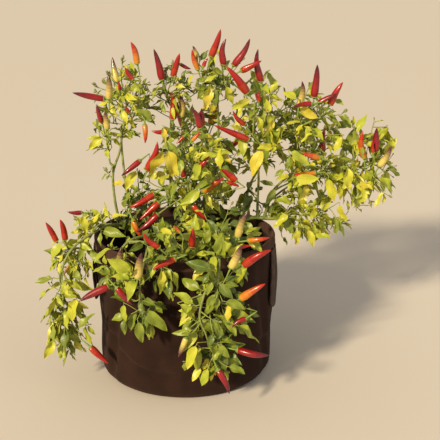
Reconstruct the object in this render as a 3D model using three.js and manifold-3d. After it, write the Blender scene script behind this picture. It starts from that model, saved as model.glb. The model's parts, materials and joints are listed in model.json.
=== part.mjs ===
// A chilli pepper plant in a soft felt grow bag, in millimetres, +Z up.
// The origin is the middle of the bag's flat underside, and the side seen first looks towards -Y.
import * as THREE from "three";
import { mergeVertices } from "three/addons/utils/BufferGeometryUtils.js";
import Module from "manifold-3d";

const wasm = await Module();
wasm.setup();

// Driving dimensions of the bag and its soil
const BAG_HEIGHT = 240;
const BAG_RIM_RADIUS = 150;
const BAG_BASE_RADIUS = 146;
const BAG_WALL = 4;
const BAG_EDGE_RADIUS = 12;
const BAG_SIDES = 32;
const HEM_HEIGHT = 17;
const HEM_DEPTH = 1.5;
const SOIL_LEVEL = 190;
const SOIL_DROP = 5;
const SOIL_CROWN_RADIUS = 60;
const GAP = 0.3;

// The handles: folded loops of webbing that hang limp against the bag's sides
const STRAP_WIDTH = 20;
const STRAP_THICKNESS = 2.6;
const STRAP_DROP = 104;
const STRAP_SLIT = 3;
const STRAP_STAND_OFF = 0.6;
const RIGHT_HANDLE_TURN = -14;
const LEFT_HANDLE_TURN = 176;

// The plant's stems
const STEM_BASE = [5, 0, SOIL_LEVEL - 6];
const STEM_TOP = [12, -4, 250];
const STEM_BASE_RADIUS = 8.5;
const STEM_TOP_RADIUS = 6.5;
const FLARE = 6.5;
const FLARE_SHARE = 0.35;
const STEM_SIDES = 8;
const BOUGH_SIDES = 4;
const THIN_LIMB = 2.5;
const LIMB_STEP = 28;
const SAMPLE_STEP = 4;

// Twigs, leaves and fruit
const TWIG_RADIUS = 1.2;
const TWIG_THICKENING = 2.4;
const TWIG_STEP = 55;
const TWIG_SAG = 3;
const SEGMENT_STEP = 5;
const TWIG_REACH = 1.1;
const TWIG_APART = 3.6;
const KNOTS_A_STEP = 4;
const SHORT_TWIG = 15;
const END_TRIES = 12;
const END_INSET = 16;
const NECK_SHARE = 0.46;
const STEM_LEAD = 6;
const HEART_SHARE = 0.6;
const WAY_COST = 0.3;
const FORK_COST = 10;
const JOINT_TRIES = 16;
const LEAF_LENGTH = 46;
const LEAF_WIDTH = 0.56;
const LEAF_THICKNESS = 1.8;
const LEAF_BROADEST = 0.42;
const LEAF_DROOP = 0.1;
const LEAF_HANG = 0.75;
const LEAF_SPREAD = 1.6;
const LEAF_OUTWARD = 0.6;
const LEAF_AHEAD = 0.4;
const LEAF_ROLL = 1.1;
const LEAF_BACKWARD = -0.25;
const LEAF_REACH = 1.15;
const LEAF_TRIES = 24;
const LEAF_APART = 4.5;
const FRUIT_RADIUS = 5.6;
const FRUIT_SIDES = 5;
const FRUIT_TILT = 12;
const FRUIT_AHEAD = [0.55, 0.75, 0.35, 0.95, 0.1, -0.15, -0.4];
const FRUIT_ROOM = 4.2;
const FRUIT_REACH = 1.6;
const FRUIT_PROFILE = [[0, 0], [1, 0.24], [0, 1]];
const STALK_LENGTH = 18;
const STALK_RADIUS = 1.3;
const STALK_SUNK = 4;
const CELL_MARGIN = 0.08;
const CLEARANCE = 1;
const SLIVERS = [0.25, 0.2, 0.3, 0.15, 0.35, 0.1, 0.06, 0.03];
const BAG_CLEAR_OUTSIDE = 164;
const BAG_CLEAR_INSIDE = 138;
const RIM_CLEAR = 243;
const SOIL_CLEAR = 196;

// How ripe a fruit is
const RED = "red";
const CRIMSON = "crimson";
const ORANGE = "orange";
const CREAM = "cream";

// The masses of foliage. Each keeps to its own space, given by its middle and half sizes, and has a number
// of twig ends and the fruits that stand out on it: [x, z, lean from upright to the right, length, ripeness].
const MASSES = [
  { name: "upper_left", middle: [-88, -10, 465], half: [48, 45, 54], ends: 22, fruits: [
    [-70, 524, -14, 36, ORANGE], [-123, 470, -76, 50, CRIMSON], [-114, 473, 2, 40, CREAM],
    [-77, 500, -30, 24, RED], [-61, 430, 180, 30, ORANGE]] },
  { name: "left_sprig", middle: [-126, 0, 402], half: [33, 30, 33], ends: 9, fruits: [
    [-130, 430, -12, 32, CRIMSON], [-121, 420, -3, 32, CREAM]] },
  { name: "top_left", middle: [-18, 10, 472], half: [39, 40, 51], ends: 18, fruits: [
    [-33, 496, -13, 52, CRIMSON], [-16, 501, 17, 40, RED], [-17, 430, -3, 46, RED],
    [-3, 434, -4, 38, CREAM]] },
  { name: "top_centre", middle: [54, -10, 496], half: [38, 38, 43], ends: 18, fruits: [
    [24, 514, -16, 34, ORANGE], [44, 534, 19, 46, RED], [64, 521, 4, 42, CRIMSON],
    [79, 520, 30, 50, CRIMSON], [91, 512, 62, 36, RED]] },
  { name: "upper_right", middle: [121, 0, 429], half: [43, 48, 78], ends: 25, fruits: [
    [124, 493, -7, 54, CRIMSON], [101, 478, -38, 56, RED], [98, 426, -39, 32, RED],
    [105, 402, -65, 64, RED]] },
  { name: "right_top", middle: [212, 10, 418], half: [54, 50, 58], ends: 24, fruits: [
    [209, 468, 2, 54, CRIMSON], [185, 454, 4, 42, CREAM], [203, 461, -98, 32, CRIMSON],
    [214, 460, 62, 34, CRIMSON], [235, 456, 26, 42, RED]] },
  { name: "far_right", middle: [304, -10, 354], half: [49, 48, 73], ends: 25, fruits: [
    [291, 372, -8, 48, ORANGE], [308, 382, -2, 42, CRIMSON], [316, 358, 24, 40, CREAM]] },
  { name: "right_mid", middle: [203, -20, 341], half: [47, 40, 36], ends: 16, fruits: [
    [218, 374, -71, 34, ORANGE], [212, 350, -87, 38, ORANGE]] },
  { name: "right_low", middle: [208, 30, 252], half: [66, 48, 43], ends: 24, fruits: [] },
  { name: "centre", middle: [10, -30, 354], half: [70, 60, 72], ends: 32, fruits: [
    [26, 428, -22, 36, CRIMSON], [-24, 424, -86, 26, RED], [0, 350, -21, 36, CRIMSON], [17, 357, 39, 38, RED],
    [30, 326, 53, 42, ORANGE], [82, 346, -50, 34, RED], [-58, 362, 20, 52, RED], [12, 305, 135, 36, RED],
    [-47, 324, -116, 46, RED], [-40, 310, -130, 42, RED], [-42, 290, -127, 46, CRIMSON],
    [-68, 378, -127, 38, CRIMSON]] },
  { name: "inner_left", middle: [-73, -20, 293], half: [37, 45, 59], ends: 20, fruits: [
    [-84, 276, 153, 36, ORANGE]] },
  { name: "left_low", middle: [-150, 0, 262], half: [45, 40, 33], ends: 14, fruits: [
    [-168, 282, -82, 24, CRIMSON]] },
  { name: "left", middle: [-180, -50, 213], half: [46, 42, 42], ends: 20, fruits: [
    [-204, 250, -22, 38, RED], [-190, 252, -8, 38, RED]] },
  { name: "hanging_left", middle: [-197, -80, 114], half: [44, 38, 69], ends: 24, fruits: [
    [-155, 82, 132, 40, RED]] },
  { name: "front_left", middle: [-102, -150, 221], half: [42, 28, 34], ends: 18, fruits: [
    [-115, 209, -114, 50, CRIMSON], [-103, 211, 137, 36, CRIMSON], [-94, 231, 1, 44, CREAM]] },
  { name: "front_left_low", middle: [-70, -172, 156], half: [40, 22, 37], ends: 14, fruits: [] },
  { name: "front_middle", middle: [-34, -160, 244], half: [32, 34, 52], ends: 20, fruits: [
    [-38, 273, -40, 34, RED], [-14, 255, -111, 38, RED], [-70, 231, 10, 44, CREAM]] },
  { name: "front_centre", middle: [47, -110, 248], half: [64, 65, 60], ends: 33, fruits: [
    [10, 262, 4, 34, RED], [79, 277, 19, 46, CREAM], [95, 271, 78, 34, ORANGE]] },
  { name: "hanging_front", middle: [44, -185, 162], half: [58, 28, 52], ends: 28, fruits: [
    [52, 251, 18, 46, ORANGE], [66, 248, 21, 42, CREAM], [84, 249, 56, 50, RED], [80, 199, 53, 46, ORANGE],
    [90, 168, -120, 26, CRIMSON], [0, 138, -157, 32, CREAM]] },
  { name: "hanging_front_tip", middle: [43, -185, 93], half: [47, 26, 45], ends: 18, fruits: [
    [76, 116, 96, 50, CRIMSON], [47, 84, 155, 42, CRIMSON]] },
  { name: "back_left", middle: [-98, 75, 448], half: [46, 38, 48], ends: 12, fruits: [
    [-112, 478, -10, 44, RED]] },
  { name: "back_centre", middle: [30, 92, 350], half: [70, 52, 78], ends: 16, fruits: [
    [2, 392, -14, 48, RED], [48, 400, 20, 44, ORANGE], [70, 350, 60, 48, RED]] },
  { name: "back_right", middle: [165, 100, 402], half: [68, 48, 58], ends: 13, fruits: [
    [140, 432, -18, 50, CRIMSON], [206, 396, 70, 42, RED]] },
  { name: "back_far_right", middle: [255, 75, 330], half: [45, 40, 50], ends: 10, fruits: [
    [246, 352, 6, 44, RED]] },
  { name: "back_low", middle: [25, 120, 284], half: [58, 48, 40], ends: 12, fruits: [
    [0, 300, -30, 44, RED]] },
  { name: "back_hanging", middle: [-30, 188, 180], half: [62, 24, 56], ends: 11, fruits: [
    [4, 176, 160, 46, CRIMSON]] },
];

// The boughs, each one tapering limb: what it grows from and where along it, the places that it bends
// through, its radius at either end and the mass of foliage that it runs into.
const BOUGHS = [
  { name: "left_bough", from: "main_stem", at: 0.35, through: [[-45, 2, 228], [-92, 2, 244]],
    radii: [4.4, 3.2], into: "left_low" },
  { name: "right_bough", from: "main_stem", at: 0.42, through: [[62, 18, 236], [112, 38, 250]],
    radii: [4.6, 3.4], into: "right_low" },
  { name: "upper_left_stem", from: "left_bough", at: 0.85,
    through: [[-114, 0, 284], [-117, 0, 340], [-105, -4, 378]], radii: [2.8, 2], into: "upper_left" },
  { name: "left_sprig_stem", from: "upper_left_stem", at: 0.58, through: [[-121, 0, 360]],
    radii: [1.8, 1.6], into: "left_sprig" },
  { name: "back_left_stem", from: "left_bough", at: 0.62, through: [[-98, 36, 300], [-106, 62, 375]],
    radii: [2.8, 2], into: "back_left" },
  { name: "inner_left_stem", from: "left_bough", at: 0.34, through: [[-48, -8, 246]],
    radii: [2.6, 2.2], into: "inner_left" },
  { name: "left_rim_bough", from: "left_bough", at: 0.66, through: [[-112, -26, 262], [-142, -36, 262]],
    radii: [2.8, 2.2], into: "left" },
  { name: "hanging_left_bough", from: "left_rim_bough", at: 0.3,
    through: [[-132, -62, 268], [-176, -96, 246], [-196, -102, 205]],
    radii: [2.6, 1.9], into: "hanging_left" },
  { name: "front_left_bough", from: "main_stem", at: 0.52,
    through: [[-32, -60, 256], [-76, -118, 268], [-94, -142, 262]],
    radii: [3.4, 2.2], into: "front_left" },
  { name: "front_left_low_stem", from: "front_left_bough", at: 0.6,
    through: [[-58, -142, 266], [-64, -178, 238], [-68, -182, 208]],
    radii: [2.4, 1.8], into: "front_left_low" },
  { name: "hanging_front_bough", from: "main_stem", at: 0.62,
    through: [[22, -58, 230], [36, -112, 246], [46, -150, 262], [50, -176, 252], [48, -190, 228]],
    radii: [4, 2.4], into: "hanging_front" },
  { name: "hanging_tip_stem", from: "hanging_front_bough", at: 0.84,
    through: [[30, -202, 215], [20, -206, 175], [28, -202, 148]],
    radii: [2.2, 1.8], into: "hanging_front_tip" },
  { name: "front_middle_bough", from: "main_stem", at: 0.76, through: [[-10, -52, 266]],
    radii: [3, 2.2], into: "front_middle" },
  { name: "front_centre_bough", from: "main_stem", at: 0.88, through: [[26, -34, 266]],
    radii: [3.2, 2.6], into: "front_centre" },
  { name: "back_hanging_bough", from: "main_stem", at: 0.5,
    through: [[-8, 66, 250], [-24, 136, 266], [-30, 170, 258]], radii: [3.2, 2.2], into: "back_hanging" },
  { name: "back_low_bough", from: "main_stem", at: 0.7, through: [[20, 42, 254]],
    radii: [3, 2.4], into: "back_low" },
  { name: "back_centre_bough", from: "main_stem", at: 0.86, through: [[10, 30, 272]],
    radii: [3.2, 2.6], into: "back_centre" },
  { name: "centre_bough", from: "main_stem", at: 0.97, through: [[12, -10, 272]],
    radii: [3.6, 3], into: "centre" },
  { name: "top_left_bough", from: "main_stem", at: 0.92,
    through: [[-10, 12, 290], [-24, 34, 340], [-22, 34, 392]], radii: [3.2, 2], into: "top_left" },
  { name: "top_centre_bough", from: "main_stem", at: 0.92,
    through: [[38, 10, 290], [54, 32, 350], [58, 22, 410]], radii: [3.2, 2], into: "top_centre" },
  { name: "upper_right_stem", from: "right_bough", at: 0.8, through: [[126, 36, 284], [126, 24, 320]],
    radii: [2.8, 2.2], into: "upper_right" },
  { name: "right_top_stem", from: "right_bough", at: 0.92, through: [[156, 54, 296], [190, 34, 338]],
    radii: [2.8, 2], into: "right_top" },
  { name: "right_mid_stem", from: "right_top_stem", at: 0.32, through: [[166, 26, 310]],
    radii: [2, 1.7], into: "right_mid" },
  { name: "far_right_stem", from: "right_top_stem", at: 0.55, through: [[218, 40, 326], [246, 20, 342]],
    radii: [2.2, 1.8], into: "far_right" },
  { name: "back_far_right_stem", from: "right_top_stem", at: 0.2, through: [[184, 78, 296]],
    radii: [2.2, 1.8], into: "back_far_right" },
  { name: "back_right_stem", from: "right_bough", at: 0.66, through: [[112, 74, 290], [132, 90, 326]],
    radii: [2.8, 2.2], into: "back_right" },
];

const finish = (color, roughness) => new THREE.MeshStandardMaterial({ color, roughness, metalness: 0 });
const FELT = finish("#4a332c", 0.95);
const WEBBING = finish("#57403a", 0.9);
const POTTING_MIX = finish("#2a211b", 1);
const WOODY_STEM = finish("#6d6a3c", 0.8);
const GREEN_STEM = finish("#8a9148", 0.7);
const LEAF = finish("#8a9a2c", 0.6);

const vector = (place) => new THREE.Vector3(...place);
const between = (a, b, share) => a.clone().lerp(b, share);
const radians = THREE.MathUtils.degToRad;

// Random numbers that come out the same each time.
function seededRandom(seed) {
  let state = seed >>> 0;
  return () => {
    state = (state + 0x6d2b79f5) >>> 0;
    let mixed = Math.imul(state ^ (state >>> 15), state | 1);
    mixed ^= mixed + Math.imul(mixed ^ (mixed >>> 7), mixed | 61);
    return ((mixed ^ (mixed >>> 14)) >>> 0) / 4294967296;
  };
}

// A closed geometry as a solid: shared corners are merged, and faces of no area left out.
function solidOf(geometry) {
  const bare = geometry.clone();
  bare.deleteAttribute("normal");
  bare.deleteAttribute("uv");
  const merged = mergeVertices(bare, 1e-4);
  const corners = [...merged.index.array];
  const faces = [];
  for (let i = 0; i < corners.length; i += 3) {
    const [a, b, c] = corners.slice(i, i + 3);
    if (a !== b && b !== c && a !== c) faces.push(a, b, c);
  }
  const build = (triVerts) =>
    new wasm.Manifold(
      new wasm.Mesh({
        numProp: 3,
        vertProperties: merged.attributes.position.array,
        triVerts: new Uint32Array(triVerts),
      }),
    );
  const made = build(faces);
  return made.volume() < 0 ? build(faces.reverse()) : made;
}

function geometryOf(solid) {
  const mesh = solid.getMesh();
  return new THREE.BufferGeometry()
    .setAttribute("position", new THREE.BufferAttribute(mesh.vertProperties, 3))
    .setIndex(new THREE.BufferAttribute(mesh.triVerts, 1));
}

// The largest body alone: a loose scrap is dropped, and a sealed hollow is filled.
function mainBody(solid) {
  return solid.decompose().reduce((best, body) => (body.volume() > best.volume() ? body : best));
}

// Whether every edge of a skin is shared by two faces alone, with no other edge lying on it.
function edgesAreApart(solid) {
  const { vertProperties, triVerts } = solid.getMesh();
  const corner = (i) => Array.from(vertProperties.slice(3 * i, 3 * i + 3), (at) => at.toFixed(3)).join();
  const counts = new Map();
  for (let i = 0; i < triVerts.length; i += 3) {
    const face = [...triVerts.slice(i, i + 3)].map(corner);
    if (new Set(face).size < 3) return false;
    face.forEach((from, k) => {
      const edge = [from, face[(k + 1) % 3]].toSorted().join(" ");
      counts.set(edge, (counts.get(edge) ?? 0) + 1);
    });
  }
  return [...counts.values()].every((count) => count === 2);
}

// A fused body with its slivers taken out, as far as its edges stay apart and none of it comes loose.
function simpler(solid) {
  const whole = mainBody(solid);
  const bodies = SLIVERS.map((sliver) => mainBody(whole.asOriginal().simplify(sliver)));
  const isSound = (body) => body.volume() > 0.99 * whole.volume() && edgesAreApart(body);
  return bodies.find(isSound) ?? whole;
}

// A closed skin through rings that have equal numbers of points.
function skin(rings) {
  const sides = rings[0].length;
  const index = [];
  rings.slice(1).forEach((ring, i) => {
    for (let k = 0; k < sides; k++) {
      const a = i * sides + k;
      const b = i * sides + ((k + 1) % sides);
      index.push(a, b, a + sides, b, b + sides, a + sides);
    }
  });
  const last = (rings.length - 1) * sides;
  for (let k = 1; k < sides - 1; k++) {
    index.push(0, k + 1, k, last, last + k, last + k + 1);
  }
  return new THREE.BufferGeometry().setFromPoints(rings.flat()).setIndex(index);
}

// Rings of points round a limb, with a radius at each. They turn as little as they can from the last
// one, which has its corners laid out from the side given.
function ringsAlong(points, radii, sides, lastSide) {
  const rings = [];
  let side = lastSide;
  for (let i = points.length - 1; i >= 0; i--) {
    const next = points[Math.min(i + 1, points.length - 1)];
    const ahead = next.clone().sub(points[Math.max(i - 1, 0)]).normalize();
    side = side.clone().addScaledVector(ahead, -side.dot(ahead)).normalize();
    const other = ahead.clone().cross(side);
    rings.unshift(Array.from({ length: sides }, (_, k) => {
      const turn = Math.PI / 6 + (2 * Math.PI * k) / sides;
      return points[i].clone()
        .addScaledVector(side, radii[i] * Math.cos(turn))
        .addScaledVector(other, radii[i] * Math.sin(turn));
    }));
  }
  return rings;
}

// A tapering limb through points.
function limbSolid(points, radii, sides) {
  const ahead = points.at(-1).clone().sub(points.at(-2)).normalize();
  const across = Math.abs(ahead.z) < 0.9 ? new THREE.Vector3(0, 0, 1) : new THREE.Vector3(1, 0, 0);
  return solidOf(skin(ringsAlong(points, radii, sides, across.cross(ahead))));
}

// The bag's outer radius at a height on its side.
function wallRadius(height) {
  return BAG_BASE_RADIUS + ((BAG_RIM_RADIUS - BAG_BASE_RADIUS) * height) / BAG_HEIGHT;
}

function turned(profile) {
  const geometry = new THREE.LatheGeometry(profile.map(([r, z]) => new THREE.Vector2(r, z)), BAG_SIDES);
  return geometryOf(solidOf(geometry.rotateX(Math.PI / 2)));
}

// The lower edge's round, as seen in section, for a skin that lies some way inside the outer one.
function roundedEdge(inset) {
  const radius = BAG_EDGE_RADIUS - inset;
  return (inset ? [0, 1] : [0, 0.5, 1]).map((share) => {
    const turn = (share * Math.PI) / 2;
    const middle = BAG_BASE_RADIUS - BAG_EDGE_RADIUS;
    return [middle + radius * Math.sin(turn), BAG_EDGE_RADIUS - radius * Math.cos(turn)];
  });
}

function growBag() {
  const hemFoot = BAG_HEIGHT - HEM_HEIGHT;
  const hemRadius = BAG_RIM_RADIUS + HEM_DEPTH;
  return turned([
    [0, 0], ...roundedEdge(0), [wallRadius(hemFoot), hemFoot], [hemRadius, hemFoot], [hemRadius, BAG_HEIGHT],
    [BAG_RIM_RADIUS - BAG_WALL, BAG_HEIGHT], ...roundedEdge(BAG_WALL).reverse(), [0, BAG_WALL],
  ]);
}

function pottingSoil() {
  const inset = BAG_WALL + GAP;
  const edge = SOIL_LEVEL - SOIL_DROP;
  return turned([
    [0, inset], ...roundedEdge(inset), [wallRadius(edge) - inset, edge], [SOIL_CROWN_RADIUS, SOIL_LEVEL],
    [0, SOIL_LEVEL],
  ]);
}

// A folded loop of webbing, laid on the bag's side: down one leg, round the fold and up the other.
function handleLoop() {
  const legFoot = BAG_HEIGHT - HEM_HEIGHT - GAP - STRAP_DROP + STRAP_WIDTH;
  const turnRadius = (STRAP_WIDTH + STRAP_SLIT) / 2;
  const top = BAG_HEIGHT - HEM_HEIGHT - GAP;
  const stations = [];
  for (const height of [top, (top + legFoot) / 2]) stations.push([-turnRadius, height, 0]);
  const foldSteps = 4;
  for (let i = 0; i <= foldSteps; i++) {
    const turn = (Math.PI * i) / foldSteps;
    stations.push([-turnRadius * Math.cos(turn), legFoot - turnRadius * Math.sin(turn), turn]);
  }
  for (const height of [(top + legFoot) / 2, top]) stations.push([turnRadius, height, Math.PI]);
  const onWall = (across, height, out) => {
    const radius = wallRadius(height) + STRAP_STAND_OFF + out;
    const turn = across / BAG_RIM_RADIUS;
    return new THREE.Vector3(radius * Math.cos(turn), radius * Math.sin(turn), height);
  };
  const rings = stations.map(([across, height, turn]) =>
    [[-1, 0], [1, 0], [1, 1], [-1, 1]].map(([side, out]) =>
      onWall(
        across + (side * STRAP_WIDTH * Math.cos(turn)) / 2,
        height + (side * STRAP_WIDTH * Math.sin(turn)) / 2,
        out * STRAP_THICKNESS,
      )));
  return geometryOf(solidOf(skin(rings)));
}

// How far out a place lies in a mass's space: 0 at its middle, 1 at its edge.
function depthIn(mass, place) {
  return Math.hypot(...["x", "y", "z"].map((axis, i) => (place[axis] - mass.middle[i]) / mass.half[i]));
}

function inSpace(mass, place, edge = 1) {
  const own = depthIn(mass, place);
  const limit = Math.min(own, 1) + CELL_MARGIN;
  return own <= edge && MASSES.every((other) => other === mass || depthIn(other, place) > limit);
}

// The stems and fruits as rows of balls, which twigs and leaves keep clear of.
const obstacles = [];

function addObstacle(points, radii, owner) {
  points.forEach((point, i) => obstacles.push({ point, radius: radii[i], owner }));
}

function isClear(place, radius, owner) {
  const out = Math.hypot(place.x, place.y);
  const floor = out > BAG_CLEAR_INSIDE - radius ? RIM_CLEAR : SOIL_CLEAR;
  if (out < BAG_CLEAR_OUTSIDE + radius && place.z < floor + radius) return false;
  return obstacles.every((ball) =>
    ball.owner === owner || ball.point.distanceTo(place) > ball.radius + radius + CLEARANCE);
}

// Points along a curve, about one sampling step apart, with the radius at each.
function sampled(curve, radiusAt, step = SAMPLE_STEP) {
  const count = Math.max(2, Math.round(curve.getLength() / step));
  const shares = Array.from({ length: count + 1 }, (_, i) => i / count);
  return { points: shares.map((share) => curve.getPoint(share)), radii: shares.map(radiusAt) };
}

function curveThrough(places) {
  return new THREE.CatmullRomCurve3(places, false, "catmullrom", 0.5);
}

// The main stem flares out where it meets the soil.
function mainStem() {
  const curve = curveThrough([vector(STEM_BASE), vector(STEM_TOP)]);
  const radiusAt = (share) =>
    STEM_BASE_RADIUS + (STEM_TOP_RADIUS - STEM_BASE_RADIUS) * share +
    FLARE * Math.max(0, 1 - share / FLARE_SHARE) ** 2;
  return { name: "main_stem", curve, radiusAt };
}

// Where a limb that comes from a place enters a mass's space.
function entryOf(mass, from) {
  return between(vector(mass.middle), from, 0.96 / depthIn(mass, from));
}

function boughOf(row, limbs) {
  const parent = limbs.get(row.from);
  const mass = MASSES.find(({ name }) => name === row.into);
  const start = parent.curve.getPoint(row.at);
  const bends = row.through.map(vector);
  const curve = curveThrough([start, ...bends, entryOf(mass, bends.at(-1))]);
  const [startRadius, endRadius] = row.radii;
  return { name: row.name, curve, radiusAt: (share) => startRadius + (endRadius - startRadius) * share };
}

// The main stem is cut flat at the soil, and each limb is cut clear of the limbs made before it.
function limbMeshes(limbs) {
  const made = [];
  for (const limb of limbs.values()) {
    const isStem = limb.name === "main_stem";
    const { points, radii } = sampled(limb.curve, limb.radiusAt, LIMB_STEP);
    const sides = isStem ? STEM_SIDES : radii[0] > THIN_LIMB ? BOUGH_SIDES : 3;
    let solid = limbSolid(points, radii, sides);
    if (isStem) solid = solid.trimByPlane([0, 0, 1], SOIL_LEVEL + GAP);
    for (const { grown } of made) solid = solid.subtract(grown);
    solid = mainBody(solid);
    made.push({
      limb,
      solid,
      material: isStem ? WOODY_STEM : GREEN_STEM,
      grown: limbSolid(points, radii.map((radius) => radius + GAP), sides),
    });
  }
  return made;
}

// A fruit hangs or stands from its crown end. It takes the first depth at which it is clear.
function placeFruit(mass, [x, z, lean, length, ripeness]) {
  const tilt = radians(FRUIT_TILT);
  const turn = radians(lean);
  const facing = new THREE.Vector3(
    Math.sin(turn) * Math.cos(tilt), -Math.sin(tilt), Math.cos(turn) * Math.cos(tilt));
  const isBehind = mass.name.startsWith("back");
  if (isBehind) facing.y *= -1;
  for (const share of FRUIT_AHEAD) {
    const ahead = isBehind ? -share : share;
    const crown = new THREE.Vector3(x, mass.middle[1] - ahead * mass.half[1], z);
    const joint = crown.clone().addScaledVector(facing, -STALK_LENGTH);
    const line = sampled(
      new THREE.LineCurve3(crown.clone().addScaledVector(facing, -STALK_SUNK),
        crown.clone().addScaledVector(facing, length)),
      () => FRUIT_RADIUS, 6);
    const clear = line.points.every((place) => isClear(place, FRUIT_ROOM));
    if (clear && inSpace(mass, joint, FRUIT_REACH) && isClear(joint, STALK_RADIUS, mass)) {
      return { crown, joint, facing, length, ripeness, line };
    }
  }
  return null;
}

// Twig ends spread evenly through the inner part of a mass's space, a leaf's reach inside its edge.
function twigEnds(mass, taken, random) {
  const ends = [];
  for (let i = 0; i < mass.ends; i++) {
    let best = null;
    let bestRoom = 0;
    for (let k = 0; k < END_TRIES; k++) {
      const turn = 2 * Math.PI * random();
      const up = 2 * random() - 1;
      const out = 0.2 + 0.8 * Math.sqrt(random());
      const flat = Math.sqrt(1 - up * up);
      const way = [flat * Math.cos(turn), flat * Math.sin(turn), up];
      const place = vector(mass.middle.map((middle, axis) =>
        middle + out * Math.max(END_INSET / 2, mass.half[axis] - END_INSET) * way[axis]));
      if (!inSpace(mass, place, 0.9) || !isClear(place, 2 * TWIG_RADIUS, mass)) continue;
      const room = Math.min(1e3, ...[...taken, ...ends].map((other) => other.distanceTo(place)));
      if (room > bestRoom) [best, bestRoom] = [place, room];
    }
    if (best) ends.push(best);
  }
  return ends;
}

function segmentIsClear(mass, from, to, reach, leaves) {
  const count = Math.ceil(from.distanceTo(to) / SEGMENT_STEP);
  return Array.from({ length: count }, (_, i) => (i + 1) / count).every((share) => {
    const place = between(from, to, share);
    return inSpace(mass, place, reach) && isClear(place, TWIG_RADIUS, mass) &&
      leaves.every(({ places }) => places.every((leaf) => leaf.distanceTo(place) > TWIG_APART));
  });
}

// The branching rule: each end, fruits first and from the nearest to the farthest, is joined by a slightly
// sagging branch to the knot on the growing skeleton that makes the shortest way back to the stem. A branch
// with neither a fruit nor room for a leaf is skipped.
function growSkeleton(mass, root, ahead, ends, random) {
  const knots = [{ place: root, parent: -1, way: 0, forks: 0 }];
  const branches = [];
  const leaves = [];
  const extend = (from, stops, end = null, leaf = null) => {
    const branch = [from];
    for (const stop of stops) {
      const start = knots[branch.at(-1)].place;
      const steps = Math.max(1, Math.round(start.distanceTo(stop) / TWIG_STEP));
      for (let i = 1; i <= steps; i++) {
        const bend = between(start, stop, i / steps);
        if (i < steps) bend.z -= TWIG_SAG;
        const here = knots[branch.at(-1)].place;
        let parent = branch.at(-1);
        for (let k = 1; k <= KNOTS_A_STEP; k++) {
          const place = between(here, bend, k / KNOTS_A_STEP);
          const way = knots[parent].way + knots[parent].place.distanceTo(place);
          parent = knots.push({ place, parent, way, forks: 0 }) - 1;
        }
        branch.push(parent);
      }
    }
    knots[from].forks += 1;
    if (end && stops.length) knots[branch.at(-1)].closed = true;
    if (leaf) leaves.push({ ...leaf, places: leafPlaces(leaf) });
    branches.push({ branch, fruit: end?.fruit, leaf });
  };
  const lead = root.clone().addScaledVector(ahead, STEM_LEAD);
  const heart = between(lead, vector(mass.middle), HEART_SHARE);
  extend(0, segmentIsClear(mass, lead, heart, TWIG_REACH, leaves) ? [lead, heart] : [lead]);
  const order = ends.toSorted((a, b) =>
    Number(!a.fruit) - Number(!b.fruit) || a.place.distanceTo(root) - b.place.distanceTo(root));
  for (const end of order) {
    const reach = end.fruit ? FRUIT_REACH : TWIG_REACH;
    const costOf = ({ place, way, forks }) =>
      place.distanceTo(end.place) + WAY_COST * way + FORK_COST * forks;
    const joint = knots
      .map((knot, i) => ({ i, knot, cost: costOf(knot) }))
      .filter(({ i, knot }) => i > 0 && !knot.closed)
      .toSorted((a, b) => a.cost - b.cost)
      .slice(0, JOINT_TRIES)
      .find(({ knot }) => segmentIsClear(mass, knot.place, end.place, reach, leaves));
    if (!joint) continue;
    const leaf = end.fruit ? null : growLeaf(mass, joint.knot.place, end.place, knots, leaves, random);
    if (!end.fruit && !leaf) continue;
    const isShort = leaf && joint.knot.place.distanceTo(end.place) < SHORT_TWIG;
    extend(joint.i, isShort ? [] : [end.place], end, leaf);
  }
  return { knots, branches };
}

// A twig is as thick as the twigs beyond it need.
function thicken(knots, most) {
  const load = knots.map(() => 0);
  for (let i = knots.length - 1; i >= 0; i--) {
    load[i] = load[i] || TWIG_RADIUS ** TWIG_THICKENING;
    if (knots[i].parent >= 0) load[knots[i].parent] += load[i];
  }
  return load.map((sum) => Math.min(most, sum ** (1 / TWIG_THICKENING)));
}

// A leaf, kite-shaped and keeled: its root, its two edges and keel where it is broadest, and its tip.
function leafAt(root, facing, roll, length) {
  const side = new THREE.Vector3(0, 0, 1).cross(facing).normalize().applyAxisAngle(facing, roll);
  const over = facing.clone().cross(side);
  const at = (along, across, raised) =>
    root.clone()
      .addScaledVector(facing, along * length)
      .addScaledVector(side, across * length * LEAF_WIDTH)
      .addScaledVector(over, raised);
  return {
    root, side, middle: at(LEAF_BROADEST, 0, 0),
    broadest: [at(LEAF_BROADEST, 0.5, 0), at(LEAF_BROADEST, -0.5, 0), at(LEAF_BROADEST, 0, -LEAF_THICKNESS)],
    tip: at(1, 0, -LEAF_DROOP * length),
  };
}

// A row of places over a leaf that are tested for room.
function leafPlaces({ root, middle, broadest, tip }) {
  const edges = broadest.slice(0, 2);
  const inner = edges.flatMap((edge) => [between(edge, root, 0.45), between(edge, tip, 0.5)]);
  return [...edges, ...inner, middle, between(middle, root, 0.45), between(middle, tip, 0.5), tip];
}

function leafIsClear(mass, leaf, knots, leaves) {
  const places = leafPlaces(leaf);
  return places.every((place) => inSpace(mass, place, LEAF_REACH) && isClear(place, LEAF_THICKNESS, mass)) &&
    places.every((place) => knots.every((knot) => knot.place.distanceTo(place) > TWIG_APART)) &&
    leaves.every((other) => places.every((place) =>
      other.places.every((beside) => beside.distanceTo(place) > LEAF_APART)));
}

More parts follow.
